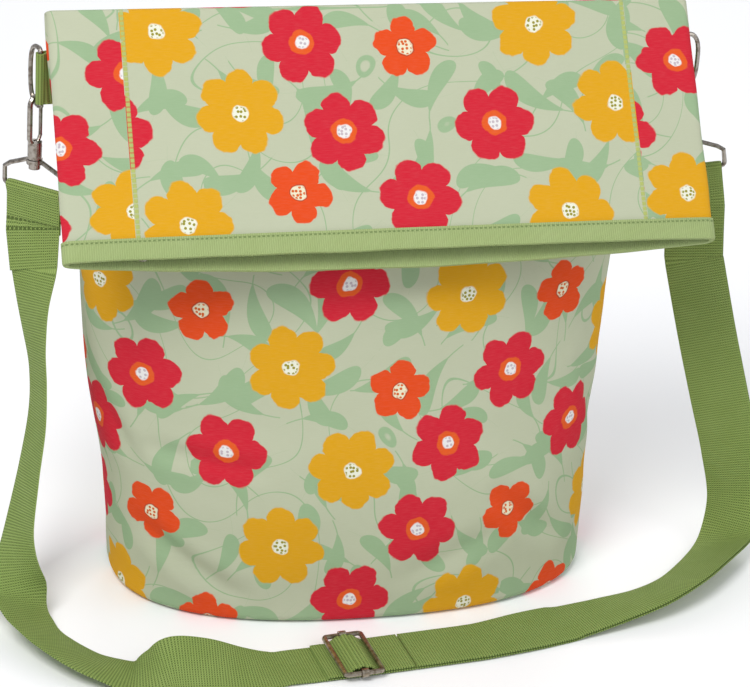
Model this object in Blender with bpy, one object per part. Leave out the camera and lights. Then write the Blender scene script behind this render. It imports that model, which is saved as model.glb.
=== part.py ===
"""A fold-over shoulder bag, in metres. +Z is up, the front is -Y, and the origin is the middle of the base.

The bag is one flattened tube of cloth on an oval base. Its upper part, the neck, folds forward over the front
about the fold line and is closed by a zip between two bound rims. A webbing strap is clipped to a D-ring at each
side and lies on the ground in front of the bag.
"""

import math

import bmesh
import bpy
from mathutils import Matrix, Vector

# Cloth tube
FLAT_WIDTH = 0.396
FOLD_HEIGHT = 0.370
FOLD_SETBACK = 0.0115
NECK_LENGTH = 0.150
BACK_PANEL_WIDTH = 0.312
BASE_WIDTH = 0.310
BASE_SQUARENESS = 2.4
NECK_SQUARENESS = 2.0
BELLY_SHIFT = -0.007
FLAP_REST_GAP = 0.0034

# Cloth layers, from the outside in
WALL = 0.0012
LINING = 0.0006
NECK_SLOT = 0.0050
CLEARANCE = 0.0003
MOUTH_OPENING = 0.0060
RIM_DROP = 0.0080
BINDING_HEIGHT = 0.0125
BINDING = 0.0008

# Base
BASE_CLOTH = 0.0015
BOARD = 0.0025

# Zip
TAPE_WIDTH = 0.0060
TAPE = 0.0005
CHAIN_WIDTH = 0.0012
CHAIN_HEIGHT = 0.0018
CHAIN_GAP = 0.0008
ZIP_MARGIN = 0.020
ZIP_DEPTH = 0.0150
ZIP_SLIDER_LENGTH = 0.0100
ZIP_SLIDER_PLATE = 0.0006
ZIP_SLIDER_PLACE = 0.026
PULL_WIRE = 0.0006
PULL_LENGTH = 0.0060
PULL_HALF_WIDTH = 0.0017
PULL_RING_RADIUS = 0.0042
STOP_LENGTH = 0.0020

# Webbing
STRAP_WIDTH = 0.038
STRAP = 0.0014
TAB_WIDTH = 0.032
TAB_REACH = 0.024
TAB = 0.0012

# Metal fittings
RING_WIRE = 0.0015
RING_DEPTH = 0.0140
RING_CORNER = 0.0025
BOW_SQUARENESS = 2.8
RING_BELOW_FOLD = 0.0410
BAR_BACK = 0.0050
HOOK_WIRE = 0.0017
EYE_HALF_WIDTH = 0.0052
EYE_HEIGHT = 0.0290
HOOK_ON_RING = 0.0064
RING_PLAY = 0.0010
BARREL_RADIUS = 0.0044
BARREL_LENGTH = 0.0110
SHANK_RADIUS = 0.0020
RIVET_RADIUS = 0.0036
RIVET_HEIGHT = 0.0030
PIN_RADIUS = 0.0008
PIN_OUT = 0.0022
PIN_DOWN = 0.0022
PIN_HALF = 0.0032
GATE_WIRE = 0.0012
GATE_EYE_RADIUS = 0.0018
GATE_EYE_HALF = 0.0013
LOOP_WIRE = 0.0015
LOOP_SHOULDER_DROP = 0.0060
LOOP_SIDE = 0.0130
LOOP_BOSS = 0.0050
LOOP_PLAY = 0.0008
SLIDER_WIRE = 0.0016
SLIDER_LENGTH = 0.0240
SLIDER_SPARE = 0.0016
SEWN_LENGTH = 0.0260
HUMP_LENGTH = 0.0220

# Each side: its outward sign, how far its ring's bar stands off the bag's edge, the ring's turn to the back, the
# outward lean of the hook, and the turns about the hook's axis of the eye and of the strap's loop, in degrees
SIDES = {
    "left": {
        "sign": -1,
        "bar_out": 0.0022,
        "back_turn": 72.0,
        "lean": 0.5,
        "eye_turn": 45.0,
        "loop_turn": -40.0,
    },
    "right": {
        "sign": 1,
        "bar_out": 0.0059,
        "back_turn": 15.0,
        "lean": 11.5,
        "eye_turn": -75.0,
        "loop_turn": -14.0,
    },
}

# How far the tube has widened and flattened from base to fold, as shares of its height and of the change
GROWTH = (
    (0.0, 0.0),
    (0.21, 0.07),
    (0.37, 0.22),
    (0.49, 0.29),
    (0.58, 0.34),
    (0.70, 0.50),
    (0.81, 0.74),
    (0.90, 0.93),
    (1.0, 1.0),
)

# Derived sizes
NECK_THICKNESS = NECK_SLOT + 2 * (WALL + CLEARANCE + LINING)
EDGE_RADIUS = NECK_THICKNESS / 2
GIRTH = 4 * (FLAT_WIDTH / 2 - EDGE_RADIUS) + 2 * math.pi * EDGE_RADIUS
SEAM = 0.5 - BACK_PANEL_WIDTH / 2 / GIRTH
TUBE_STEPS = 14
NECK_COLUMNS = 6
MOUTH_START = 1 / 3

# The strap's lines. Each entry is a point on the middle of the webbing and the direction across it, from the edge
# away from the bag to the edge beside it. The point is in shares: of half the folded width, of half the base's depth,
# and, for the height of the webbing's lower edge, of the height of the loop that the strap hangs from.
LEFT_ROUTE = (
    ((-1.028, 0.136, 0.810), (0.62, -0.78, 0.00)),
    ((-1.033, 0.079, 0.732), (0.40, -0.92, 0.00)),
    ((-1.030, 0.000, 0.645), (0.24, -0.97, 0.00)),
    ((-1.023, -0.079, 0.551), (0.15, -0.99, 0.00)),
    ((-1.030, -0.158, 0.448), (0.13, -0.99, 0.00)),
    ((-1.061, -0.260, 0.315), (0.15, -0.98, -0.05)),
    ((-1.101, -0.418, 0.157), (0.26, -0.94, -0.20)),
    ((-1.116, -0.621, 0.047), (0.58, -0.70, -0.40)),
    ((-1.086, -0.893, 0.008), (0.88, -0.12, -0.45)),
    ((-1.025, -1.141, 0.000), (0.86, 0.35, -0.38)),
    ((-0.939, -1.379, 0.000), (0.60, 0.75, -0.28)),
    ((-0.838, -1.514, 0.000), (0.30, 0.95, -0.10)),
    ((-0.758, -1.559, 0.000), (0.10, 0.97, 0.22)),
    ((-0.682, -1.571, 0.000), (0.00, 0.86, 0.50)),
    ((-0.581, -1.571, 0.000), (0.00, 0.90, 0.42)),
    ((-0.455, -1.571, 0.000), (0.05, 0.98, 0.16)),
    ((-0.354, -1.554, 0.000), (0.11, 0.99, 0.00)),
    ((-0.253, -1.534, 0.000), (0.11, 0.99, 0.00)),
    ((-0.116, -1.506, 0.000), (0.11, 0.99, 0.00)),
    ((0.045, -1.467, 0.000), (0.11, 0.99, 0.00)),
)
RIGHT_ROUTE = (
    ((0.061, -1.463, 0.000), (0.11, 0.99, 0.00)),
    ((0.177, -1.434, 0.000), (0.12, 0.99, 0.00)),
    ((0.303, -1.401, 0.000), (0.16, 0.98, 0.00)),
    ((0.455, -1.333, 0.000), (0.26, 0.96, 0.04)),
    ((0.606, -1.243, 0.000), (0.24, 0.97, 0.00)),
    ((0.758, -1.164, 0.000), (0.05, 0.99, -0.12)),
    ((0.909, -1.073, 0.000), (-0.25, 0.93, -0.28)),
    ((1.045, -0.904, 0.000), (-0.55, 0.73, -0.40)),
    ((1.172, -0.633, 0.000), (-0.70, 0.60, -0.40)),
    ((1.278, -0.362, 0.016), (-0.78, 0.56, -0.30)),
    ((1.323, -0.215, 0.110), (-0.86, 0.50, -0.12)),
    ((1.293, -0.158, 0.251), (-0.91, 0.41, 0.00)),
    ((1.237, -0.090, 0.415), (-0.94, 0.34, 0.00)),
    ((1.182, 0.011, 0.587), (-0.96, 0.28, 0.00)),
    ((1.131, 0.124, 0.767), (-0.97, 0.25, 0.00)),
)
SLIDER_POINT = (-0.116, -1.506)
SLIDER_HEADING = 6.3


def clear_scene():
    for obj in list(bpy.data.objects):
        bpy.data.objects.remove(obj, do_unlink=True)


def make_collection(name):
    collection = bpy.data.collections.new(name)
    bpy.context.scene.collection.children.link(collection)
    return collection


def make_material(name, colour, roughness, metallic=0.0):
    material = bpy.data.materials.new(name)
    material.use_nodes = True
    shader = material.node_tree.nodes["Principled BSDF"]
    shader.inputs["Base Color"].default_value = (*colour, 1.0)
    shader.inputs["Roughness"].default_value = roughness
    shader.inputs["Metallic"].default_value = metallic
    return material


clear_scene()
PARTS = make_collection("fold_over_bag")
CUTTERS = make_collection("cutters")
PRINT_CLOTH = make_material("print_cloth", (0.52, 0.60, 0.42), 0.85)
LINING_CLOTH = make_material("lining_cloth", (0.55, 0.60, 0.48), 0.80)
WEBBING = make_material("webbing", (0.25, 0.37, 0.09), 0.80)
BINDING_TAPE = make_material("binding_tape", (0.30, 0.42, 0.14), 0.75)
ZIP_CLOTH = make_material("zip_cloth", (0.28, 0.40, 0.13), 0.80)
STIFFENER = make_material("stiffener", (0.10, 0.10, 0.10), 0.60)
NICKEL = make_material("nickel", (0.62, 0.60, 0.57), 0.22, 1.0)


def new_object(name, mesh, material, matrix=None, collection=None):
    obj = bpy.data.objects.new(name, mesh)
    if material is not None:
        mesh.materials.clear()
        mesh.materials.append(material)
    (collection or PARTS).objects.link(obj)
    if matrix is not None:
        obj.matrix_world = matrix
    return obj


def mesh_from_bmesh(name, bm, smooth_angle=40.0):
    mesh = bpy.data.meshes.new(name)
    bm.to_mesh(mesh)
    bm.free()
    mesh.shade_smooth()
    mesh.set_sharp_from_angle(angle=math.radians(smooth_angle))
    return mesh


def thick_patch(name, outer, inner, material, closed=False):
    """A closed solid between two grids of points. closed joins the last row to the first."""
    bm = bmesh.new()
    rows, columns = len(outer), len(outer[0])
    skins = [[[bm.verts.new(p) for p in row] for row in grid] for grid in (outer, inner)]
    row_pairs = [(i, (i + 1) % rows) for i in range(rows if closed else rows - 1)]
    for skin in skins:
        for i, j in row_pairs:
            for k in range(columns - 1):
                bm.faces.new((skin[i][k], skin[j][k], skin[j][k + 1], skin[i][k + 1]))
    first, second = skins
    for k in (0, columns - 1):
        for i, j in row_pairs:
            bm.faces.new((first[i][k], first[j][k], second[j][k], second[i][k]))
    if not closed:
        for i in (0, rows - 1):
            for k in range(columns - 1):
                bm.faces.new((first[i][k], first[i][k + 1], second[i][k + 1], second[i][k]))
    bmesh.ops.recalc_face_normals(bm, faces=bm.faces)
    return new_object(name, mesh_from_bmesh(name, bm), material)


# The tube's cross-section


def smooth_table(table, x):
    """A monotone cubic through the table's points."""
    slopes = []
    for (x0, y0), (x1, y1) in zip(table, table[1:]):
        slopes.append((y1 - y0) / (x1 - x0))
    tangents = [slopes[0]]
    for a, b in zip(slopes, slopes[1:]):
        tangents.append(2 * a * b / (a + b) if a * b > 0 else 0.0)
    tangents.append(slopes[-1])
    for i, ((x0, y0), (x1, y1)) in enumerate(zip(table, table[1:])):
        if x <= x1 or i == len(slopes) - 1:
            h = x1 - x0
            t = (x - x0) / h
            return (
                (2 * t**3 - 3 * t**2 + 1) * y0
                + (t**3 - 2 * t**2 + t) * h * tangents[i]
                + (3 * t**2 - 2 * t**3) * y1
                + (t**3 - t**2) * h * tangents[i + 1]
            )


def signed_power(value, power):
    return math.copysign(abs(value) ** power, value)


def section_points(half_width, half_depth, squareness, inset=0.0, count=240):
    """Points round a rounded section, from the middle of the front towards +X, moved in by inset along the normals.

    The section is a flat oval core grown by EDGE_RADIUS, so that its ends stay round however flat it is.
    """
    core_width = max(half_width - EDGE_RADIUS, 0.001)
    core_depth = max(half_depth - EDGE_RADIUS, 0.00002)
    points = []
    for i in range(count):
        angle = -math.pi / 2 + 2 * math.pi * i / count
        c, s = math.cos(angle), math.sin(angle)
        x = core_width * signed_power(c, 2 / squareness)
        y = core_depth * signed_power(s, 2 / squareness)
        across = signed_power(c, 2 - 2 / squareness) / core_width
        through = signed_power(s, 2 - 2 / squareness) / core_depth
        normal = Vector((across, through))
        normal.normalize()
        points.append((Vector((x, y)) + normal * (EDGE_RADIUS - inset), normal))
    return points


def refine_ends(points):
    """Extra points where the normal turns quickly between neighbours, as round the ends of a flat section."""
    refined = []
    for (p, n), (q, m) in zip(points, points[1:] + points[:1]):
        refined.append((p, n))
        turn = n.angle(m)
        steps = int(turn / math.radians(9))
        for k in range(1, steps):
            share = k / steps
            normal = n.slerp(m, share)
            core_p = p - n * EDGE_RADIUS
            core_q = q - m * EDGE_RADIUS
            refined.append((core_p.lerp(core_q, share) + normal * EDGE_RADIUS, normal))
    return refined


class Section:
    """One cross-section of the tube, read by its share of the way round from the middle of the front."""

    def __init__(self, half_width, half_depth, squareness):
        self.points = refine_ends(section_points(half_width, half_depth, squareness))
        self.lengths = [0.0]
        loop = self.points + self.points[:1]
        for (p, _), (q, _) in zip(loop, loop[1:]):
            self.lengths.append(self.lengths[-1] + (q - p).length)
        self.girth = self.lengths[-1]

    def at(self, share, inset=0.0):
        target = (share % 1.0) * self.girth
        low, high = 0, len(self.points)
        while high - low > 1:
            middle = (low + high) // 2
            if self.lengths[middle] <= target:
                low = middle
            else:
                high = middle
        step = self.lengths[low + 1] - self.lengths[low]
        t = (target - self.lengths[low]) / step if step > 0 else 0.0
        (p, n) = self.points[low]
        (q, m) = self.points[(low + 1) % len(self.points)]
        normal = n.lerp(m, t).normalized()
        return p.lerp(q, t) - normal * inset


def depth_for_girth(half_width, squareness):
    """The half depth that gives the tube's girth at this half width."""
    low, high = EDGE_RADIUS, GIRTH / 4
    for _ in range(30):
        middle = (low + high) / 2
        if Section(half_width, middle, squareness).girth < GIRTH:
            low = middle
        else:
            high = middle
    return (low + high) / 2


BASE_DEPTH = 2 * depth_for_girth(BASE_WIDTH / 2, BASE_SQUARENESS)


def body_section(share):
    """The bag's section at a share of the fold's height."""
    growth = smooth_table(GROWTH, share)
    half_width = BASE_WIDTH / 2 + (FLAT_WIDTH - BASE_WIDTH) / 2 * growth
    squareness = BASE_SQUARENESS + (NECK_SQUARENESS - BASE_SQUARENESS) * min(1.0, growth * 1.5)
    half_depth = EDGE_RADIUS if share >= 1.0 else depth_for_girth(half_width, squareness)
    return Section(half_width, half_depth, squareness)


LINING_FLOOR = BASE_CLOTH + BOARD + LINING + 2 * CLEARANCE
BODY_STEPS = [0.0, LINING_FLOOR / FOLD_HEIGHT] + [i / TUBE_STEPS for i in range(1, TUBE_STEPS + 1)]
BODY_SECTIONS = [body_section(share) for share in BODY_STEPS]


def body_point(index, around, inset):
    share = BODY_STEPS[index]
    flat = BODY_SECTIONS[index].at(around, inset)
    middle_y = (FOLD_SETBACK + EDGE_RADIUS) * share**1.5
    middle_x = BELLY_SHIFT * math.sin(math.pi * share) ** 2
    return Vector((flat.x + middle_x, flat.y + middle_y, FOLD_HEIGHT * share))


def step_at(share):
    """The spacing of the cloth's points: close together round the tube's two edges."""
    from_edge = abs(abs(share) - 0.25)
    return 0.0045 if from_edge < 0.012 else 0.030


def shares_all_round():
    """Shares of the girth from -0.5 to 0.5, the same for every layer, with each seam's two sides among them."""
    stops = {0.0, 0.5}
    for seam in (SEAM, 0.25):
        stops |= {seam - SEAM_GAP, seam + SEAM_GAP}
    stops = sorted(stops | {-stop for stop in stops})
    found = []
    for start, end in zip(stops, stops[1:]):
        here = start
        while end - here > 1e-9:
            found.append(here)
            here += step_at(here)
            if end - here < 0.4 * step_at(here):
                here = end
    return found + [0.5]


SEAM_GAP = CLEARANCE / GIRTH / 2
SHARES = shares_all_round()


def shares_between(start, end):
    """The shared positions from start to end. end may run past the middle of the back."""
    turned = SHARES + [share + 1 for share in SHARES[1:]]
    return [share for share in turned if start - 1e-7 <= share <= end + 1e-7]


# The neck hangs forward from the fold line at the lean that just clears the bag's front.


def flap_lean():
    """The neck's angle from straight down, found from the bag's own front."""
    hinge = Vector((FOLD_SETBACK, FOLD_HEIGHT))
    lean = 0.0
    for index in range(len(BODY_STEPS) - 1):
        front = body_point(index, 0.0, 0.0)
        across = hinge.x - front.y
        down = hinge.y - front.z
        distance = math.hypot(across, down)
        if distance < NECK_LENGTH + RIM_DROP + BINDING_HEIGHT:
            bound = distance > NECK_LENGTH - BINDING_HEIGHT
            gap = FLAP_REST_GAP + (BINDING + CLEARANCE if bound else 0.0)
            lean = max(lean, math.atan2(across, down) + math.asin(gap / distance))
    return lean


LEAN = flap_lean()
HINGE = Vector((0.0, FOLD_SETBACK - CLEARANCE, FOLD_HEIGHT))
NECK_START = 0.0008
NECK_DOWN = Vector((0.0, -math.sin(LEAN), -math.cos(LEAN)))
NECK_OUT = Vector((0.0, -math.cos(LEAN), math.sin(LEAN)))
NECK_STEPS = [i / NECK_COLUMNS for i in range(NECK_COLUMNS + 1)]


def neck_section(share):
    opening = MOUTH_OPENING / 2 * max(0.0, share - MOUTH_START) / (1 - MOUTH_START)
    return Section(FLAT_WIDTH / 2, EDGE_RADIUS + opening, NECK_SQUARENESS)


NECK_SECTIONS = [neck_section(share) for share in NECK_STEPS]


def neck_length(around):
    """The cloth's length from fold to rim: the front side reaches lower in its middle."""
    in_front = max(0.0, math.cos(2 * math.pi * around))
    return NECK_LENGTH + RIM_DROP * in_front**0.7


def neck_place(flat, down):
    return HINGE + Vector((flat.x, 0, 0)) + NECK_DOWN * down + NECK_OUT * (EDGE_RADIUS + flat.y)


def neck_section_at(share):
    position = min(max(share, 0.0), 1.0) * (len(NECK_SECTIONS) - 1)
    index = min(int(position), len(NECK_SECTIONS) - 2)
    return NECK_SECTIONS[index], NECK_SECTIONS[index + 1], position - index


def neck_point(share, around, inset, extra=0.0):
    """A point of the neck at a share of the way down to the rim, plus extra metres past it."""
    lower, upper, t = neck_section_at(share)
    flat = lower.at(around, inset).lerp(upper.at(around, inset), t)
    return neck_place(flat, NECK_START + (neck_length(around) - NECK_START) * share + extra)


def rim_point(around, inset, past):
    """A point near the rim: past is the distance below it, negative above."""
    share = 1 + min(past, 0.0) / (neck_length(around) - NECK_START)
    return neck_point(share, around, inset, max(past, 0.0))


def wall(name, point, columns, start, end, inset, thickness, material, closed=False):
    """A layer of cloth: point(column, share, inset) gives its surface."""
    shares = shares_between(start, end)
    if closed:
        shares = shares[:-1]
    outer = [[point(k, share, inset) for k in columns] for share in shares]
    inner = [[point(k, share, inset + thickness) for k in columns] for share in shares]
    return thick_patch(name, outer, inner, material, closed)


LINING_INSET = WALL + CLEARANCE
BODY_COLUMNS = range(len(BODY_STEPS))
FRONT = (-SEAM + SEAM_GAP, SEAM - SEAM_GAP)
BACK = (SEAM + SEAM_GAP, 1 - SEAM - SEAM_GAP)


def build_body_cloth():
    wall("front_panel", body_point, BODY_COLUMNS, *FRONT, 0.0, WALL, PRINT_CLOTH)
    wall("back_panel", body_point, BODY_COLUMNS, *BACK, 0.0, WALL, PRINT_CLOTH)
    wall("bag_lining", body_point, BODY_COLUMNS[1:], -0.5, 0.5, LINING_INSET, LINING, LINING_CLOTH, closed=True)


def base_plate(name, inset, bottom, thickness, material):
    """A flat oval plate inside the base of the tube."""
    curve = bpy.data.curves.new(name, "CURVE")
    curve.dimensions = "2D"
    curve.fill_mode = "BOTH"
    curve.extrude = thickness / 2
    shares = SHARES[:-1]
    spline = curve.splines.new("POLY")
    spline.points.add(len(shares) - 1)
    for point, share in zip(spline.points, shares):
        flat = BODY_SECTIONS[0].at(share, inset)
        point.co = (flat.x, flat.y, 0, 1)
    spline.use_cyclic_u = True
    obj = bpy.data.objects.new(name, curve)
    curve.materials.append(material)
    PARTS.objects.link(obj)
    obj.location.z = bottom + thickness / 2
    return obj


def build_base():
    inside = WALL + CLEARANCE
    base_plate("base_panel", inside, 0.0, BASE_CLOTH, PRINT_CLOTH)
    board_bottom = BASE_CLOTH + CLEARANCE
    base_plate("base_board", inside + LINING + CLEARANCE, board_bottom, BOARD, STIFFENER)
    lining_bottom = board_bottom + BOARD + CLEARANCE
    base_plate("lining_base", LINING_INSET + LINING + 2 * CLEARANCE, lining_bottom, LINING, LINING_CLOTH)


# Neck, rims and zip


def neck_cloth_point(index, around, inset):
    return neck_point(NECK_STEPS[index], around, inset)


def build_neck_cloth():
    columns = range(len(NECK_STEPS))
    wall("neck_front_panel", neck_cloth_point, columns, *FRONT, 0.0, WALL, PRINT_CLOTH)
    wall("neck_back_panel", neck_cloth_point, columns, *BACK, 0.0, WALL, PRINT_CLOTH)
    wall("neck_lining", neck_cloth_point, columns, -0.5, 0.5, LINING_INSET, LINING, LINING_CLOTH, closed=True)


def binding(name, start, end):
    """A tape folded over the rim: an outer leaf, the fold below the rim, and an inner leaf."""
    outside = -(CLEARANCE + BINDING)
    inside = WALL + CLEARANCE + LINING + CLEARANCE
    below = CLEARANCE + BINDING

    def leaf_points(around):
        upper = -BINDING_HEIGHT + below
        outer_path = [
            (outside, upper),
            (outside, upper / 2),
            (outside, below),
            (inside + BINDING, below),
            (inside + BINDING, upper / 2),
            (inside + BINDING, upper),
        ]
        inner_path = [
            (outside + BINDING, upper),
            (outside + BINDING, upper / 2),
            (outside + BINDING, CLEARANCE),
            (inside, CLEARANCE),
            (inside, upper / 2),
            (inside, upper),
        ]
        return [[rim_point(around, inset, past) for inset, past in path] for path in (outer_path, inner_path)]

    rows = [leaf_points(around) for around in shares_between(start, end)]
    return thick_patch(name, [row[0] for row in rows], [row[1] for row in rows], BINDING_TAPE)


def zip_half(side, x, down):
    """Half the gap between the two linings. side is 1 on the back cloth and -1 on the front."""
    around = x / GIRTH if side < 0 else 0.5 - x / GIRTH
    share = (down - NECK_START) / (neck_length(around) - NECK_START)
    opening = MOUTH_OPENING / 2 * max(0.0, share - MOUTH_START) / (1 - MOUTH_START)
    lens = math.sqrt(max(0.0, 1 - (x / (FLAT_WIDTH / 2 - EDGE_RADIUS)) ** 2))
    return EDGE_RADIUS + opening * lens - LINING_INSET - LINING - 2.5 * CLEARANCE


def zip_point(side, x, from_wall, down_shift):
    """A point of the zip, from_wall towards the middle of the mouth. from_wall of None is the middle itself."""
    down = NECK_LENGTH - ZIP_DEPTH + down_shift
    through = 0.0 if from_wall is None else side * (zip_half(side, x, down) - from_wall)
    return HINGE + Vector((x, 0, 0)) + NECK_DOWN * down + NECK_OUT * (EDGE_RADIUS + through)


def zip_stations():
    reach = FLAT_WIDTH / 2 - ZIP_MARGIN
    return [-reach + 2 * reach * i / 24 for i in range(25)]


def build_zip():
    """Two tapes run down from the linings and meet at the chain in the middle of the mouth."""
    level = NECK_LENGTH - ZIP_DEPTH
    stations = zip_stations()
    for side, word in ((1, "back"), (-1, "front")):
        outer_rows, inner_rows, first_rows, second_rows = [], [], [], []
        for x in stations:
            half = zip_half(side, x, level)
            edge = half - CHAIN_GAP / 2 - CHAIN_WIDTH - CLEARANCE
            upper_edge = zip_half(side, x, level - TAPE) - half + edge
            outer = ((0.0, -TAPE_WIDTH), (0.0, 0.0), (edge, 0.0))
            inner = ((TAPE, -TAPE_WIDTH), (TAPE, -TAPE), (upper_edge, -TAPE))
            outer_rows.append([zip_point(side, x, *place) for place in outer])
            inner_rows.append([zip_point(side, x, *place) for place in inner])
        for x in stations[1:-1]:
            low, high = -(TAPE + CHAIN_HEIGHT) / 2, (CHAIN_HEIGHT - TAPE) / 2
            middle = zip_point(side, x, None, 0.0)
            for rows, from_middle in ((first_rows, CHAIN_GAP / 2 + CHAIN_WIDTH), (second_rows, CHAIN_GAP / 2)):
                face = middle + NECK_OUT * side * from_middle
                rows.append([face + NECK_DOWN * shift for shift in (low, high)])
        thick_patch(f"zip_tape_{word}", outer_rows, inner_rows, ZIP_CLOTH)
        thick_patch(f"zip_chain_{word}", first_rows, second_rows, NICKEL)


# Metal


def to_mesh_object(obj, material, collection=None):
    """The same shape as a plain mesh, its loose caps welded."""
    bpy.context.view_layer.update()
    graph = bpy.context.evaluated_depsgraph_get()
    mesh = bpy.data.meshes.new_from_object(obj.evaluated_get(graph))
    bm = bmesh.new()
    bm.from_mesh(mesh)
    bmesh.ops.remove_doubles(bm, verts=bm.verts, dist=0.000005)
    bm.to_mesh(mesh)
    bm.free()
    mesh.shade_smooth()
    mesh.set_sharp_from_angle(angle=math.radians(40))
    name, matrix = obj.name, obj.matrix_world.copy()
    bpy.data.objects.remove(obj, do_unlink=True)
    return new_object(name, mesh, material, matrix, collection)


def wire(name, points, radius, matrix, material=NICKEL, cyclic=False, resolution=2):
    curve = bpy.data.curves.new(name, "CURVE")
    curve.dimensions = "3D"
    curve.bevel_depth = radius
    curve.bevel_resolution = resolution
    curve.use_fill_caps = True
    spline = curve.splines.new("POLY")
    spline.points.add(len(points) - 1)
    for point, co in zip(spline.points, points):
        point.co = (*co, 1)
    spline.use_cyclic_u = cyclic
    obj = bpy.data.objects.new(name, curve)
    curve.materials.append(material)
    PARTS.objects.link(obj)
    obj.matrix_world = matrix
    return obj


def cylinder(name, radius, start, end, matrix, material=NICKEL, segments=20, collection=None):
    """A round bar from start to end, in the frame of matrix."""
    start, end = Vector(start), Vector(end)
    bm = bmesh.new()
    length = (end - start).length
    bmesh.ops.create_cone(bm, cap_ends=True, segments=segments, radius1=radius, radius2=radius, depth=length)
    turn = (end - start).to_track_quat("Z", "Y").to_matrix().to_4x4()
    bm.transform(Matrix.Translation((start + end) / 2) @ turn)
    return new_object(name, mesh_from_bmesh(name, bm), material, matrix, collection)


def boolean(target, cutter, operation):
    modifier = target.modifiers.new(operation.lower(), "BOOLEAN")
    modifier.operation = operation
    modifier.object = cutter
    modifier.solver = "EXACT"
    cutter.hide_render = True
    cutter.display_type = "WIRE"


def arc(centre, radius, start, end, steps):
    """Points on an arc in the XZ plane, by angle from +X."""
    points = []
    for i in range(steps + 1):
        angle = math.radians(start + (end - start) * i / steps)
        points.append((centre[0] + radius * math.cos(angle), 0.0, centre[1] + radius * math.sin(angle)))
    return points


RING_HALF = TAB_WIDTH / 2 + RING_CORNER
RING_Z = FOLD_HEIGHT - RING_BELOW_FOLD
TAB_EYE = RING_WIRE + CLEARANCE + TAB / 2
LOOP_HALF = STRAP_WIDTH / 2 + LOOP_WIRE + 0.0008
LOOP_BAR_DROP = LOOP_SHOULDER_DROP + LOOP_SIDE


def body_surface(z, around, inset):
    """A point of the bag's cloth at any height, between the stations that carry it."""
    share = z / FOLD_HEIGHT
    index = max(i for i, step in enumerate(BODY_STEPS[:-1]) if step <= share)
    start, end = BODY_STEPS[index], BODY_STEPS[index + 1]
    lower, upper = body_point(index, around, inset), body_point(index + 1, around, inset)
    return lower.lerp(upper, (share - start) / (end - start))


def side_edge(sign, z):
    return body_surface(z, sign * 0.25, 0.0)


def loop_room(setting):
    """How far out the ring's bar must be for the strap's loop below it to hang clear of the bag."""
    shoulder = RING_Z - RING_HALF - hook_reach() - LOOP_SHOULDER_DROP
    turn = math.radians(setting["loop_turn"])
    reach = (LOOP_HALF + LOOP_WIRE) * math.cos(turn) + LOOP_WIRE * abs(math.sin(turn))
    hook_out = HOOK_ON_RING * math.cos(math.radians(setting["back_turn"]))
    return abs(side_edge(setting["sign"], shoulder).x) + reach + LOOP_PLAY - hook_out


def ring_matrix(side):
    """The ring's frame: Z along its bar, and X the way it sticks out."""
    setting = SIDES[side]
    sign = setting["sign"]
    turn = math.radians(setting["back_turn"])
    if sign < 0:
        turn = math.pi - turn
    widest = side_edge(sign, RING_Z + TAB_WIDTH / 2)
    out = max(abs(widest.x) + setting["bar_out"], loop_room(setting))
    place = Vector((sign * out, side_edge(sign, RING_Z).y + BAR_BACK, RING_Z))
    return Matrix.Translation(place) @ Matrix.Rotation(turn, 4, "Z")


def ring_bow(angle):
    """A point of the ring's bow in its own frame."""
    across = signed_power(math.cos(angle), 2 / BOW_SQUARENESS)
    up = signed_power(math.sin(angle), 2 / BOW_SQUARENESS)
    return (RING_CORNER + (RING_DEPTH - RING_CORNER) * across, 0.0, RING_HALF * up)


def build_ring(side):
    """A D-ring: a straight bar in the tab and a bow that springs from two small corners."""
    points = arc((RING_CORNER, -RING_HALF + RING_CORNER), RING_CORNER, 180, 270, 4)
    points += [ring_bow(math.radians(-90 + 180 * i / 15)) for i in range(1, 15)]
    points += arc((RING_CORNER, RING_HALF - RING_CORNER), RING_CORNER, 90, 180, 4)
    wire(f"d_ring_{side}", points, RING_WIRE, ring_matrix(side), cyclic=True)


def strip(name, rows, thickness, material):
    """A band of even thickness. Each row is a line of points along the band, and each line has its own normals."""
    outer, inner = [], []
    for row in rows:
        normals = []
        for i in range(len(row)):
            along = row[min(i + 1, len(row) - 1)] - row[max(i - 1, 0)]
            normals.append(along.cross(Vector((0, 0, 1))).normalized())
        outer.append([p + n * thickness / 2 for p, n in zip(row, normals)])
        inner.append([p - n * thickness / 2 for p, n in zip(row, normals)])
    return thick_patch(name, outer, inner, material)


def build_tab(side):
    """A band of webbing round the ring's bar, its two leaves sewn one over the other to the back of the bag."""
    sign = SIDES[side]["sign"]
    bar = ring_matrix(side).translation
    leaf_one = -(2 * CLEARANCE + TAB / 2)
    leaf_two = -(3 * CLEARANCE + 1.5 * TAB)
    reach = TAB_REACH / GIRTH
    rows = []
    for i in range(5):
        z = RING_Z + TAB_WIDTH * (i / 4 - 0.5)
        row = [body_surface(z, sign * (0.25 + reach * k), leaf_one) for k in (1.0, 0.75, 0.5, 0.33, 0.18)]
        for angle in range(225, 446, 20):
            turn = math.radians(angle)
            row.append(Vector((bar.x + sign * TAB_EYE * math.cos(turn), bar.y + TAB_EYE * math.sin(turn), z)))
        row += [body_surface(z, sign * (0.25 + reach * k), leaf_two) for k in (0.33, 0.5, 0.75, 1.0)]
        rows.append(row)
    strip(f"ring_tab_{side}", rows, TAB, WEBBING)


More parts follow.
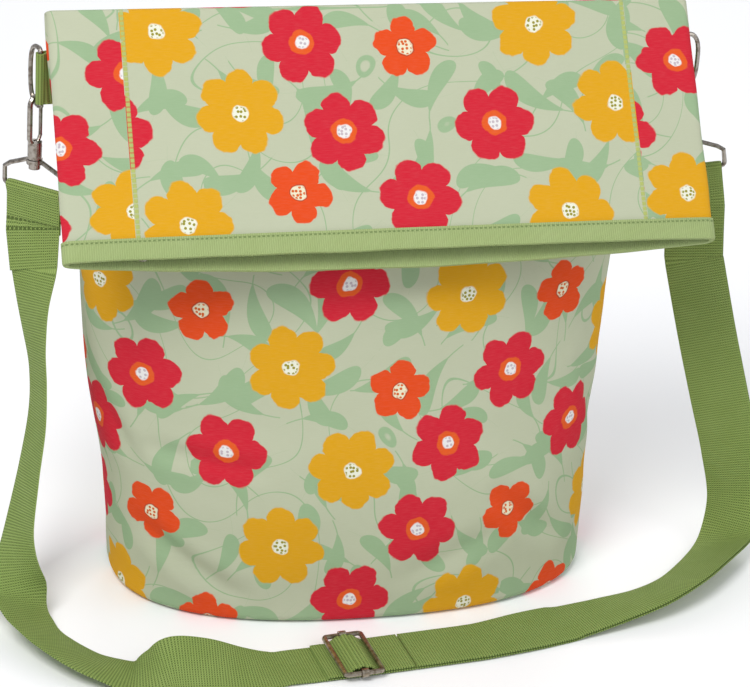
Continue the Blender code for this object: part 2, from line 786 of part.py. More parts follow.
def hook_matrix(side):
    """The hook's frame: the origin at the loop's boss, Z up the swivel axis to the ring."""
    setting = SIDES[side]
    across = (HOOK_ON_RING - RING_CORNER) / (RING_DEPTH - RING_CORNER)
    contact = ring_matrix(side) @ Vector(ring_bow(-math.acos(across ** (BOW_SQUARENESS / 2))))
    tilt = Matrix.Rotation(math.radians(-setting["sign"] * setting["lean"]), 4, "Y")
    return Matrix.Translation(contact) @ tilt @ Matrix.Translation((0, 0, -hook_reach()))


def hook_reach():
    """From the boss to the ring's wire in the top of the eye."""
    return LOOP_WIRE + CLEARANCE + BARREL_LENGTH + EYE_HEIGHT - HOOK_WIRE - RING_WIRE - RING_PLAY


def build_hook(side):
    """A cast hook on a round barrel, its shank riveted through the loop's boss."""
    frame = hook_matrix(side) @ Matrix.Rotation(math.radians(SIDES[side]["eye_turn"]), 4, "Z")
    barrel_bottom = LOOP_WIRE + CLEARANCE
    barrel_top = barrel_bottom + BARREL_LENGTH
    arch = barrel_top + EYE_HEIGHT - EYE_HALF_WIDTH
    half = EYE_HALF_WIDTH
    points = [(-half * 0.35, 0.0, barrel_top - 0.003), (-half, 0.0, barrel_top + 0.003)]
    points.append((-half, 0.0, barrel_top + 0.010))
    points += arc((0.0, arch), half, 180, 0, 10)
    points.append((half, 0.0, arch - 0.0030))
    hook = to_mesh_object(wire(f"hook_{side}", points, HOOK_WIRE, frame, resolution=2), NICKEL)
    barrel = cylinder(
        f"barrel_{side}", BARREL_RADIUS, (0, 0, barrel_bottom), (0, 0, barrel_top), frame, collection=CUTTERS
    )
    shank = cylinder(
        f"shank_{side}", SHANK_RADIUS, (0, 0, -LOOP_WIRE - 0.001), (0, 0, barrel_bottom + 0.001), frame, collection=CUTTERS
    )
    rivet_top = -LOOP_WIRE - CLEARANCE
    rivet = cylinder(
        f"rivet_{side}", RIVET_RADIUS, (0, 0, rivet_top - RIVET_HEIGHT), (0, 0, rivet_top), frame, collection=CUTTERS
    )
    for piece in (barrel, shank, rivet):
        boolean(hook, piece, "UNION")
    slot_width = 2 * (GATE_EYE_HALF + CLEARANCE)
    slot_start = PIN_OUT - GATE_EYE_RADIUS - CLEARANCE
    slot_floor = barrel_top - PIN_DOWN - GATE_EYE_RADIUS - CLEARANCE
    slot_centre = (slot_start + 0.005, 0, slot_floor + 0.0035)
    slot = new_box(f"gate_slot_{side}", slot_centre, (0.010, slot_width, 0.0070), frame)
    boolean(hook, slot, "DIFFERENCE")
    pin = ((PIN_OUT, -0.01, barrel_top - PIN_DOWN), (PIN_OUT, 0.01, barrel_top - PIN_DOWN))
    pin_hole = cylinder(
        f"pin_hole_{side}", PIN_RADIUS + CLEARANCE, *pin, frame, segments=12, collection=CUTTERS
    )
    boolean(hook, pin_hole, "DIFFERENCE")
    build_gate(side, frame, barrel_top, arch)
    build_loop(side)


def new_box(name, centre, size, matrix, material=None, collection=None):
    bm = bmesh.new()
    bmesh.ops.create_cube(bm, size=1.0)
    bm.transform(Matrix.Translation(centre) @ Matrix.Diagonal((*size, 1.0)))
    return new_object(name, mesh_from_bmesh(name, bm), material, matrix, collection or CUTTERS)


def build_gate(side, frame, barrel_top, arch):
    """The sprung gate that closes the eye, and its pin through the barrel."""
    pin_z = barrel_top - PIN_DOWN
    tip_z = arch - 0.0030 - CLEARANCE
    points = [(PIN_OUT, 0.0, pin_z), (EYE_HALF_WIDTH, 0.0, pin_z + 0.0050), (EYE_HALF_WIDTH, 0.0, tip_z)]
    gate = to_mesh_object(wire(f"gate_{side}", points, GATE_WIRE, frame), NICKEL)
    eye_ends = ((PIN_OUT, -GATE_EYE_HALF, pin_z), (PIN_OUT, GATE_EYE_HALF, pin_z))
    eye = cylinder(f"gate_eye_{side}", GATE_EYE_RADIUS, *eye_ends, frame, collection=CUTTERS)
    boolean(gate, eye, "UNION")
    hole_ends = ((PIN_OUT, -0.01, pin_z), (PIN_OUT, 0.01, pin_z))
    hole = cylinder(
        f"gate_hole_{side}", PIN_RADIUS + CLEARANCE, *hole_ends, frame, segments=12, collection=CUTTERS
    )
    boolean(gate, hole, "DIFFERENCE")
    pin_ends = ((PIN_OUT, -PIN_HALF, pin_z), (PIN_OUT, PIN_HALF, pin_z))
    cylinder(f"gate_pin_{side}", PIN_RADIUS, *pin_ends, frame, segments=12)


def loop_matrix(side):
    """The loop's frame: the origin in its boss, X along the bar that carries the strap."""
    return hook_matrix(side) @ Matrix.Rotation(math.radians(SIDES[side]["loop_turn"]), 4, "Z")


def build_loop(side):
    """The strap's wire loop with a pierced boss for the hook's shank."""
    frame = loop_matrix(side)
    corner = 0.0025
    shoulder = -LOOP_SHOULDER_DROP
    level = LOOP_BOSS + 0.0005
    points = [(-level, 0.0, 0.0), (level, 0.0, 0.0)]
    points += [(LOOP_HALF - 0.004, 0.0, shoulder + 0.001), (LOOP_HALF, 0.0, shoulder - 0.002)]
    points += arc((LOOP_HALF - corner, corner - LOOP_BAR_DROP), corner, 0, -90, 3)
    points += arc((corner - LOOP_HALF, corner - LOOP_BAR_DROP), corner, 270, 180, 3)
    points += [(-LOOP_HALF, 0.0, shoulder - 0.002), (0.004 - LOOP_HALF, 0.0, shoulder + 0.001)]
    loop = to_mesh_object(wire(f"strap_loop_{side}", points, LOOP_WIRE, frame, cyclic=True), NICKEL)
    boss = cylinder(
        f"boss_{side}", LOOP_BOSS, (0, 0, -LOOP_WIRE), (0, 0, LOOP_WIRE), frame, collection=CUTTERS
    )
    boolean(loop, boss, "UNION")
    hole = cylinder(
        f"boss_hole_{side}", SHANK_RADIUS + CLEARANCE, (0, 0, -0.01), (0, 0, 0.01), frame, collection=CUTTERS
    )
    boolean(loop, hole, "DIFFERENCE")


# The strap


def rounded_line(points, steps):
    """Points along a smooth curve through the given ones."""
    line = []
    last = len(points) - 1
    for i in range(last):
        before, start, end, after = points[max(i - 1, 0)], points[i], points[i + 1], points[min(i + 2, last)]
        for k in range(steps):
            t = k / steps
            pull = (end - before) / 2 * (t**3 - 2 * t**2 + t) + (after - start) / 2 * (t**3 - t**2)
            line.append(start * (2 * t**3 - 3 * t**2 + 1) + end * (3 * t**2 - 2 * t**3) + pull)
    line.append(points[last])
    return line


def strap_route(route, side, layer_thickness):
    """Middle points and directions across, smoothed; the lower edge of each point is at its given height."""
    bar_height = (loop_matrix(side) @ Vector((0, 0, -LOOP_BAR_DROP))).z
    scale = Vector((FLAT_WIDTH / 2, BASE_DEPTH / 2, bar_height))
    across = [a.normalized() for a in rounded_line([Vector(a) for _, a in route], 2)]
    middles = rounded_line([Vector(p) * scale for p, _ in route], 2)
    placed = []
    for middle, side_way in zip(middles, across):
        upright = abs(side_way.z) * STRAP_WIDTH / 2
        lift = CLEARANCE + layer_thickness / 2 * math.sqrt(1 - side_way.z**2)
        placed.append(Vector((middle.x, middle.y, max(middle.z, 0.0) + upright + lift)))
    return placed, across


def webbing(name, middles, across, offsets):
    """A band of webbing along middles. offsets moves each point along the band's face."""
    outer, inner = [[], [], []], [[], [], []]
    last = len(middles) - 1
    for i, (middle, side_way) in enumerate(zip(middles, across)):
        along = middles[min(i + 1, last)] - middles[max(i - 1, 0)]
        side_way = (side_way - along * side_way.dot(along) / along.length_squared).normalized()
        face = side_way.cross(along).normalized()
        for row, place in enumerate((-0.5, 0.0, 0.5)):
            point = middle + side_way * STRAP_WIDTH * place + face * offsets[i]
            outer[row].append(point + face * STRAP / 2)
            inner[row].append(point - face * STRAP / 2)
    return thick_patch(name, outer, inner, WEBBING)


def bar_wrap(side, facing, leaf):
    """The webbing's line over the loop's bar: up one face, over the bar, and down the other as far as leaf."""
    frame = loop_matrix(side)
    radius = LOOP_WIRE + CLEARANCE + STRAP / 2
    close = (STRAP + CLEARANCE) / 2
    flat = [(close, -leaf), (close, -leaf / 2), (close, -0.0060)]
    for angle in range(-10, 191, 20):
        turn = math.radians(angle)
        flat.append((radius * math.cos(turn), radius * math.sin(turn)))
    flat += [(-close, -0.0060), (-close, -leaf / 2), (-close, -leaf)]
    return [frame @ Vector((0, facing * y, z - LOOP_BAR_DROP)) for y, z in flat]


def bar_across(side):
    return (loop_matrix(side).to_quaternion() @ Vector((-SIDES[side]["sign"], 0, 0))).normalized()


def build_left_strap():
    """From the leaf sewn behind the left loop's bar, over the bar, down to the ground and along to the slider."""
    wrap = bar_wrap("left", 1, SEWN_LENGTH)
    middles, across = strap_route(LEFT_ROUTE, "left", STRAP)
    line = wrap + middles
    directions = [bar_across("left")] * len(wrap) + across
    webbing("strap_left", line, directions, [0.0] * len(line))


def build_right_strap():
    """Two layers along one line: up from the slider, round the right loop's bar, and back."""
    pair = STRAP + CLEARANCE
    middles, across = strap_route(RIGHT_ROUTE, "right", STRAP + pair)
    wrap = bar_wrap("right", -1, SEWN_LENGTH)
    turned = bar_across("right")
    up = webbing_faces(middles, across, pair / 2)
    back = webbing_faces(middles, across, -pair / 2)
    line = up + wrap + back[::-1]
    directions = across + [turned] * len(wrap) + across[::-1]
    webbing("strap_right", line, directions, [0.0] * len(line))


def webbing_faces(middles, across, offset):
    """The route moved along the webbing's face by offset."""
    moved = []
    last = len(middles) - 1
    for i, (middle, side_way) in enumerate(zip(middles, across)):
        along = middles[min(i + 1, last)] - middles[max(i - 1, 0)]
        moved.append(middle + side_way.cross(along).normalized() * offset)
    return moved


# The strap's slider


def slider_matrix():
    level = CLEARANCE + 2 * (STRAP + CLEARANCE) + SLIDER_WIRE
    across, out = SLIDER_POINT
    place = (across * FLAT_WIDTH / 2, out * BASE_DEPTH / 2, level)
    return Matrix.Translation(place) @ Matrix.Rotation(math.radians(SLIDER_HEADING), 4, "Z")


def build_slider():
    """A wire frame, a middle bar held on it by two eyes, and the webbing that runs over the bar."""
    frame = slider_matrix()
    half_long = SLIDER_LENGTH / 2
    half_wide = STRAP_WIDTH / 2 + SLIDER_WIRE + SLIDER_SPARE
    corner = 0.0020
    points = []
    for x, y, start in ((1, 1, 0), (-1, 1, 90), (-1, -1, 180), (1, -1, 270)):
        centre = (x * (half_long - corner), y * (half_wide - corner))
        for angle in (start, start + 30, start + 60, start + 90):
            turn = math.radians(angle)
            points.append((centre[0] + corner * math.cos(turn), centre[1] + corner * math.sin(turn), 0.0))
    wire("strap_slider_frame", points, SLIDER_WIRE, frame, cyclic=True)
    eye = SLIDER_WIRE + CLEARANCE
    bar = cylinder("strap_slider_bar", SLIDER_WIRE, (0, -half_wide, 0), (0, half_wide, 0), frame)
    for sign in (-1, 1):
        y = sign * half_wide
        tube = cylinder(
            f"bar_eye_{sign + 1}", eye + 0.0009, (-0.0022, y, 0), (0.0022, y, 0), frame, collection=CUTTERS
        )
        boolean(bar, tube, "UNION")
    for sign in (-1, 1):
        y = sign * half_wide
        bore = cylinder(f"bar_bore_{sign + 1}", eye, (-0.01, y, 0), (0.01, y, 0), frame, collection=CUTTERS)
        boolean(bar, bore, "DIFFERENCE")
    over = SLIDER_WIRE + CLEARANCE + STRAP / 2
    low = -(SLIDER_WIRE + CLEARANCE + STRAP / 2)
    flat = [(-HUMP_LENGTH, low), (-0.0150, low), (-0.0105, low), (-0.0050, over * 0.55)]
    for angle in range(150, 29, -20):
        turn = math.radians(angle)
        flat.append((over * math.cos(turn), over * math.sin(turn)))
    flat += [(0.0050, over * 0.55), (0.0105, low), (0.0150, low), (HUMP_LENGTH, low)]
    middles = [frame @ Vector((x, 0, z)) for x, z in flat]
    side_way = frame.to_quaternion() @ Vector((0, 1, 0))
    webbing("strap_over_slider", middles, [side_way] * len(middles), [0.0] * len(middles))


# The zip's moving pieces


def zip_frame(centre):
    """A frame at centre with X along the zip and Z into the bag, away from the mouth."""
    turn = Matrix((Vector((1, 0, 0)), NECK_OUT, -NECK_DOWN)).transposed()
    return Matrix.Translation(centre) @ turn.to_4x4()


def build_zip_slider():
    """A slider round both chains, with a hinged pull and a loose ring."""
    x = ZIP_SLIDER_PLACE - FLAT_WIDTH / 2 + ZIP_MARGIN
    centre = zip_point(1, x, None, -TAPE / 2)
    frame = zip_frame(centre)
    half_chain = CHAIN_HEIGHT / 2 + CLEARANCE
    plate = ZIP_SLIDER_PLATE
    inside = CHAIN_GAP + 2 * (CHAIN_WIDTH + CLEARANCE)
    width = inside + 2 * plate
    body = new_box(
        "zip_slider", (0, 0, 0), (ZIP_SLIDER_LENGTH, width, 2 * (half_chain + plate)), frame, NICKEL, PARTS
    )
    channel = (0.03, inside, 2 * half_chain)
    boolean(body, new_box("chain_channel", (0, 0, 0), channel, frame), "DIFFERENCE")
    tape_slot = (0.03, 0.03, TAPE + 2 * CLEARANCE)
    boolean(body, new_box("tape_slot", (0, 0, 0), tape_slot, frame), "DIFFERENCE")
    post = new_box("zip_post", (-0.0035, 0, 0), (0.0020, CHAIN_GAP / 3, 2 * half_chain + plate), frame)
    boolean(body, post, "UNION")
    under = -(half_chain + plate)
    bail = new_box("zip_bail", (0, 0, under - 0.0009), (0.0030, 0.0014, 0.0030), frame)
    boolean(body, bail, "UNION")
    hole_z = under - 0.0011
    hole_radius = PULL_WIRE + CLEARANCE
    hole = cylinder(
        "bail_hole", hole_radius, (0, -0.01, hole_z), (0, 0.01, hole_z), frame, segments=12, collection=CUTTERS
    )
    boolean(body, hole, "DIFFERENCE")
    build_pull(frame, hole_z)


def build_pull(frame, hole_z):
    """A wire link through the slider's bail, and a round ring hanging in the link."""
    half = PULL_HALF_WIDTH
    low = hole_z - PULL_LENGTH
    turned = Matrix.Rotation(math.radians(90), 4, "Z")
    corners = [(-half, 0, low), (half, 0, low), (half, 0, hole_z), (-half, 0, hole_z)]
    wire("zip_pull", corners, PULL_WIRE, frame @ turned, cyclic=True, resolution=1)
    centre_z = low + 2 * PULL_WIRE + CLEARANCE - PULL_RING_RADIUS
    ring = arc((0.0, centre_z), PULL_RING_RADIUS, 0, 345, 23)
    wire("zip_pull_ring", ring, PULL_WIRE, frame, cyclic=True, resolution=1)


def build_zip_stops():
    """A small block past each end of the chain."""
    stations = zip_stations()
    for sign, word in ((-1, "left"), (1, "right")):
        x = sign * (abs(stations[1]) + CLEARANCE + STOP_LENGTH / 2)
        centre = zip_point(1, x, None, -TAPE / 2)
        size = (STOP_LENGTH, CHAIN_GAP + 2 * CHAIN_WIDTH, CHAIN_HEIGHT)
        new_box(f"zip_stop_{word}", (0, 0, 0), size, zip_frame(centre), NICKEL, PARTS)


build_body_cloth()
build_base()
build_neck_cloth()
binding("front_rim_binding", -0.25 + SEAM_GAP, 0.25 - SEAM_GAP)
binding("back_rim_binding", 0.25 + SEAM_GAP, 0.75 - SEAM_GAP)
build_zip()
build_zip_slider()
build_zip_stops()
for side_name in SIDES:
    build_ring(side_name)
    build_tab(side_name)
    build_hook(side_name)
build_left_strap()
build_right_strap()
build_slider()
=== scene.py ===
import math

import bmesh
import bpy
import numpy as np
from mathutils import Matrix, Vector, noise


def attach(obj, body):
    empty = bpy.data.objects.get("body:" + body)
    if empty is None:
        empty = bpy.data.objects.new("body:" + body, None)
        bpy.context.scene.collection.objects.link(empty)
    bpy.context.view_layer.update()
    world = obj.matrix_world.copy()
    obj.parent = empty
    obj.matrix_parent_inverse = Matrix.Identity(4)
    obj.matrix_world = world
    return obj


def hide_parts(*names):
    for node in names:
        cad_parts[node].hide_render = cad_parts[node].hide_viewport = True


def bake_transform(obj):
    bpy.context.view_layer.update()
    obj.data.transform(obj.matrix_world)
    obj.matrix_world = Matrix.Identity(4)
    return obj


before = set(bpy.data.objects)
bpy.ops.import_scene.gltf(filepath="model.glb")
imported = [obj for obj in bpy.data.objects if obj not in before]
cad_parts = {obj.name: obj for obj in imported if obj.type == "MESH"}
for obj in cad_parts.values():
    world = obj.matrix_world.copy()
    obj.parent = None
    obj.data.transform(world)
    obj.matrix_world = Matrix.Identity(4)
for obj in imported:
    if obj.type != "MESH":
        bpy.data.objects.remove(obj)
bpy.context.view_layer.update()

# Cloth tube, as in the CAD
FLAT_WIDTH = 0.396
FOLD_HEIGHT = 0.370
FOLD_SETBACK = 0.0115
NECK_LENGTH = 0.150
BACK_PANEL_WIDTH = 0.312
BASE_WIDTH = 0.310
BASE_SQUARENESS = 2.4
NECK_SQUARENESS = 2.0
BELLY_SHIFT = -0.007
WALL = 0.0012
LINING = 0.0006
NECK_SLOT = 0.0050
CLEARANCE = 0.0003
MOUTH_OPENING = 0.0060
MOUTH_START = 1 / 3
RIM_DROP = 0.0080
BINDING_HEIGHT = 0.0125
BINDING = 0.0008
LEAN = math.radians(38.037)
TUBE_STEPS = 14
NECK_COLUMNS = 6
GROWTH = (
    (0.0, 0.0),
    (0.21, 0.07),
    (0.37, 0.22),
    (0.49, 0.29),
    (0.58, 0.34),
    (0.70, 0.50),
    (0.81, 0.74),
    (0.90, 0.93),
    (1.0, 1.0),
)
BASE_ROUNDING = 0.0060
LINING_FLOOR = 0.0053

# Webbing and fittings, as in the CAD
STRAP_WIDTH = 0.038
STRAP = 0.0014
TAB_WIDTH = 0.032
TAB_REACH = 0.024
TAB = 0.0012
RING_WIRE = 0.0015
RING_DEPTH = 0.0140
RING_CORNER = 0.0025
BOW_SQUARENESS = 2.8
RING_BELOW_FOLD = 0.0410
BAR_BACK = 0.0050
HOOK_WIRE = 0.0017
EYE_HEIGHT = 0.0290
HOOK_ON_RING = 0.0064
RING_PLAY = 0.0010
BARREL_LENGTH = 0.0110
LOOP_WIRE = 0.0015
LOOP_SHOULDER_DROP = 0.0060
LOOP_SIDE = 0.0130
LOOP_PLAY = 0.0008
SLIDER_WIRE = 0.0016
SEWN_LENGTH = 0.0260
HUMP_LENGTH = 0.0220
TAIL_END = 0.0340
STRAP_JOIN = 0.0026
SIDES = {
    "left": {"sign": -1, "bar_out": 0.0022, "back_turn": 72.0, "lean": 0.5, "loop_turn": -40.0},
    "right": {"sign": 1, "bar_out": 0.0059, "back_turn": 15.0, "lean": 11.5, "loop_turn": -14.0},
}
LEFT_ROUTE = (
    ((-1.028, 0.136, 0.810), (0.62, -0.78, 0.00)),
    ((-1.033, 0.079, 0.732), (0.40, -0.92, 0.00)),
    ((-1.030, 0.000, 0.645), (0.24, -0.97, 0.00)),
    ((-1.023, -0.079, 0.551), (0.15, -0.99, 0.00)),
    ((-1.030, -0.158, 0.448), (0.13, -0.99, 0.00)),
    ((-1.061, -0.260, 0.315), (0.15, -0.98, -0.05)),
    ((-1.101, -0.418, 0.157), (0.26, -0.94, -0.20)),
    ((-1.116, -0.621, 0.047), (0.58, -0.70, -0.40)),
    ((-1.086, -0.893, 0.008), (0.88, -0.12, -0.45)),
    ((-1.025, -1.141, 0.000), (0.86, 0.35, -0.38)),
    ((-0.939, -1.379, 0.000), (0.60, 0.75, -0.28)),
    ((-0.838, -1.514, 0.000), (0.30, 0.95, -0.10)),
    ((-0.758, -1.559, 0.000), (0.10, 0.97, 0.22)),
    ((-0.682, -1.571, 0.000), (0.00, 0.86, 0.50)),
    ((-0.581, -1.571, 0.000), (0.00, 0.90, 0.42)),
    ((-0.455, -1.571, 0.000), (0.05, 0.98, 0.16)),
    ((-0.354, -1.554, 0.000), (0.11, 0.99, 0.00)),
    ((-0.253, -1.534, 0.000), (0.11, 0.99, 0.00)),
    ((-0.116, -1.506, 0.000), (0.11, 0.99, 0.00)),
    ((0.045, -1.467, 0.000), (0.11, 0.99, 0.00)),
)
RIGHT_ROUTE = (
    ((0.061, -1.463, 0.000), (0.11, 0.99, 0.00)),
    ((0.177, -1.434, 0.000), (0.12, 0.99, 0.00)),
    ((0.303, -1.401, 0.000), (0.16, 0.98, 0.00)),
    ((0.455, -1.333, 0.000), (0.26, 0.96, 0.04)),
    ((0.606, -1.243, 0.000), (0.24, 0.97, 0.00)),
    ((0.758, -1.164, 0.000), (0.05, 0.99, -0.12)),
    ((0.909, -1.073, 0.000), (-0.25, 0.93, -0.28)),
    ((1.045, -0.904, 0.000), (-0.55, 0.73, -0.40)),
    ((1.172, -0.633, 0.000), (-0.70, 0.60, -0.40)),
    ((1.278, -0.362, 0.016), (-0.78, 0.56, -0.30)),
    ((1.323, -0.215, 0.110), (-0.86, 0.50, -0.12)),
    ((1.293, -0.158, 0.251), (-0.91, 0.41, 0.00)),
    ((1.237, -0.090, 0.415), (-0.94, 0.34, 0.00)),
    ((1.182, 0.011, 0.587), (-0.96, 0.28, 0.00)),
    ((1.131, 0.124, 0.767), (-0.97, 0.25, 0.00)),
)
SLIDER_POINT = (-0.116, -1.506)
SLIDER_HEADING = 6.3

# The print: a repeat in mm, with flowers in staggered rows, each nudged a little off its place
PRINT_REPEAT = (232.0, 208.0)
FLOWER_COLUMNS = 3
FLOWER_ROWS = 4
FLOWER_NUDGE = 9.0
FLOWER_KINDS = (
    "red",
    "yellow",
    "orange",
    "red",
    "orange",
    "yellow",
    "yellow",
    "red",
    "red",
    "orange",
    "red",
    "yellow",
)
FLOWER_LOOKS = {
    "red": {
        "radius": 25.0,
        "petals": 6,
        "notch": 0.30,
        "petal": (0.57, 0.004, 0.026),
        "rings": ((0.31, (0.70, 0.085, 0.006)), (0.17, (0.76, 0.74, 0.72))),
        "dots": (0.50, 0.42, 0.46),
    },
    "yellow": {
        "radius": 27.0,
        "petals": 7,
        "notch": 0.28,
        "petal": (0.66, 0.325, 0.001),
        "rings": ((0.19, (0.76, 0.76, 0.62)),),
        "dots": (0.28, 0.25, 0.02),
    },
    "orange": {
        "radius": 20.0,
        "petals": 5,
        "notch": 0.36,
        "petal": (0.70, 0.055, 0.002),
        "rings": ((0.27, (0.42, 0.040, 0.004)), (0.23, (0.76, 0.70, 0.50))),
        "dots": (0.60, 0.10, 0.01),
    },
}
# The leaves' layers: the mean spacing, the length and twice the width in mm, a shift, and the bend
LEAVES = (
    (49.0, 36.0, 14.5, 0.0, 0.012),
    (46.0, 32.0, 13.0, 131.0, -0.015),
    (53.0, 38.0, 13.0, 247.0, 0.010),
)

# Creases in the front, each from one point to another of the cloth in metres, with its depth and half width
CREASES = (
    ((-0.150, 0.055), (-0.085, 0.018), 0.0042, 0.0065),
    ((-0.140, 0.112), (-0.070, 0.104), 0.0024, 0.0055),
    ((0.085, 0.078), (0.125, 0.040), 0.0032, 0.0070),
    ((0.020, 0.030), (0.080, 0.052), 0.0020, 0.0075),
    ((-0.190, 0.150), (-0.150, 0.100), 0.0026, 0.0070),
    ((0.150, 0.150), (0.190, 0.090), 0.0026, 0.0075),
    ((-0.030, 0.215), (0.060, 0.232), 0.0012, 0.0090),
)

# Derived sizes
NECK_THICKNESS = NECK_SLOT + 2 * (WALL + CLEARANCE + LINING)
EDGE_RADIUS = NECK_THICKNESS / 2
GIRTH = 4 * (FLAT_WIDTH / 2 - EDGE_RADIUS) + 2 * math.pi * EDGE_RADIUS
SEAM = 0.5 - BACK_PANEL_WIDTH / 2 / GIRTH
LINING_INSET = WALL + CLEARANCE
RING_HALF = TAB_WIDTH / 2 + RING_CORNER
RING_Z = FOLD_HEIGHT - RING_BELOW_FOLD
TAB_EYE = RING_WIRE + CLEARANCE + TAB / 2
LOOP_HALF = STRAP_WIDTH / 2 + LOOP_WIRE + 0.0008
LOOP_BAR_DROP = LOOP_SHOULDER_DROP + LOOP_SIDE
HINGE = Vector((0.0, FOLD_SETBACK - CLEARANCE, FOLD_HEIGHT))
NECK_START = 0.0008
NECK_DOWN = Vector((0.0, -math.sin(LEAN), -math.cos(LEAN)))
NECK_OUT = Vector((0.0, -math.cos(LEAN), math.sin(LEAN)))


# Camera, light and floor


def add_camera():
    """The viewpoint: a long lens from above and a little to the left of the front."""
    azimuth, elevation, roll = math.radians(-14.5), math.radians(25.9), math.radians(3.77)
    distance = 1.844
    target = Vector((0.0123, 0.0, 0.1508))
    flat = math.cos(elevation)
    back = Vector((math.sin(azimuth) * flat, -math.cos(azimuth) * flat, math.sin(elevation)))
    right = Vector((math.cos(azimuth), math.sin(azimuth), 0.0))
    up = back.cross(right)
    turned_right = right * math.cos(roll) + up * math.sin(roll)
    turned_up = up * math.cos(roll) - right * math.sin(roll)
    data = bpy.data.cameras.new("camera")
    data.sensor_width = 36.0
    data.lens = 139.4
    camera = bpy.data.objects.new("camera", data)
    turn = Matrix((turned_right, turned_up, back)).transposed().to_4x4()
    camera.matrix_world = Matrix.Translation(target + back * distance) @ turn
    bpy.context.scene.collection.objects.link(camera)
    bpy.context.scene.camera = camera


def add_light(name, place, target, size, power, colour=(1.0, 1.0, 1.0)):
    data = bpy.data.lights.new(name, "AREA")
    data.energy = power
    data.size = size
    data.color = colour
    light = bpy.data.objects.new(name, data)
    light.location = place
    light.rotation_euler = (Vector(target) - Vector(place)).to_track_quat("-Z", "Y").to_euler()
    bpy.context.scene.collection.objects.link(light)


def add_studio():
    world = bpy.data.worlds.new("studio")
    world.use_nodes = True
    background = world.node_tree.nodes["Background"]
    background.inputs["Color"].default_value = (0.93, 0.95, 1.0, 1.0)
    background.inputs["Strength"].default_value = 0.60
    bpy.context.scene.world = world
    add_light("key", (-0.9, -1.1, 1.9), (0.0, 0.0, 0.15), 0.9, 32)
    add_light("fill", (1.5, -0.9, 0.9), (0.0, 0.0, 0.15), 1.2, 7)
    add_light("rim", (0.5, 1.6, 1.5), (0.0, 0.0, 0.2), 1.0, 10)
    bpy.context.scene.view_settings.view_transform = "Standard"
    mesh = bpy.data.meshes.new("floor")
    bm = bmesh.new()
    bmesh.ops.create_grid(bm, x_segments=2, y_segments=2, size=6.0)
    bm.to_mesh(mesh)
    bm.free()
    floor = bpy.data.objects.new("floor", mesh)
    floor.location.z = -0.0004
    material = Shader("pale_floor", (0.94, 0.94, 0.94), 0.85)
    mesh.materials.append(material.done())
    bpy.context.scene.collection.objects.link(floor)


# Materials


class Shader:
    """A material under construction. Its inputs are sockets or plain numbers."""

    def __init__(self, name, colour=(0.8, 0.8, 0.8), roughness=0.5, metallic=0.0):
        self.material = bpy.data.materials.new(name)
        self.material.use_nodes = True
        self.tree = self.material.node_tree
        self.bsdf = self.tree.nodes["Principled BSDF"]
        self.bsdf.inputs["Base Color"].default_value = (*colour, 1.0)
        self.bsdf.inputs["Roughness"].default_value = roughness
        self.bsdf.inputs["Metallic"].default_value = metallic

    def node(self, kind, **settings):
        node = self.tree.nodes.new(kind)
        for key, value in settings.items():
            setattr(node, key, value)
        return node

    def put(self, socket, value):
        if isinstance(value, bpy.types.NodeSocket):
            self.tree.links.new(value, socket)
        else:
            socket.default_value = value

    def math(self, operation, *values):
        node = self.node("ShaderNodeMath", operation=operation)
        for socket, value in zip(node.inputs, values):
            self.put(socket, value)
        return node.outputs["Value"]

    def vector(self, operation, *values):
        node = self.node("ShaderNodeVectorMath", operation=operation)
        for socket, value in zip(node.inputs, values):
            self.put(socket, value)
        return node.outputs["Value"] if operation == "LENGTH" else node.outputs["Vector"]

    def scaled(self, vector, factor):
        node = self.node("ShaderNodeVectorMath", operation="SCALE")
        self.put(node.inputs["Vector"], vector)
        node.inputs["Scale"].default_value = factor
        return node.outputs["Vector"]

    def split(self, vector):
        node = self.node("ShaderNodeSeparateXYZ")
        self.put(node.inputs["Vector"], vector)
        return node.outputs["X"], node.outputs["Y"], node.outputs["Z"]

    def cloth_place(self):
        """The place on the cloth in mm, across and along."""
        return self.scaled(self.node("ShaderNodeUVMap", uv_map="cloth").outputs["UV"], 1000.0)

    def object_place(self):
        return self.scaled(self.node("ShaderNodeTexCoord").outputs["Object"], 1000.0)

    def noise(self, place, scale, detail=2.0):
        node = self.node("ShaderNodeTexNoise")
        self.put(node.inputs["Vector"], place)
        node.inputs["Scale"].default_value = scale
        node.inputs["Detail"].default_value = detail
        return node.outputs["Fac"]

    def band(self, value, low, high):
        """0 below low, 1 above high, and smooth between."""
        node = self.node("ShaderNodeMapRange", interpolation_type="SMOOTHSTEP")
        self.put(node.inputs["Value"], value)
        node.inputs["From Min"].default_value = low
        node.inputs["From Max"].default_value = high
        return node.outputs["Result"]

    def mix(self, factor, first, second):
        node = self.node("ShaderNodeMix", data_type="RGBA")
        self.put(node.inputs["Factor"], factor)
        for socket, value in ((node.inputs[6], first), (node.inputs[7], second)):
            self.put(socket, value if isinstance(value, bpy.types.NodeSocket) else (*value, 1.0))
        return node.outputs[2]

    def colour(self, socket):
        self.tree.links.new(socket, self.bsdf.inputs["Base Color"])

    def rough(self, socket):
        self.tree.links.new(socket, self.bsdf.inputs["Roughness"])

    def bump(self, height, distance, strength=1.0):
        node = self.node("ShaderNodeBump")
        node.inputs["Strength"].default_value = strength
        node.inputs["Distance"].default_value = distance
        self.put(node.inputs["Height"], height)
        self.tree.links.new(node.outputs["Normal"], self.bsdf.inputs["Normal"])

    def done(self):
        return self.material

    def times(self, value, factor):
        return self.math("MULTIPLY", value, factor)

    def stripes(self, value, pitch):
        """A sine that makes one turn in each pitch."""
        return self.math("SINE", self.times(value, 2 * math.pi / pitch))

    def below(self, value, low, high):
        """One under low, zero over high, and soft between them."""
        return self.math("SUBTRACT", 1.0, self.band(value, low, high))



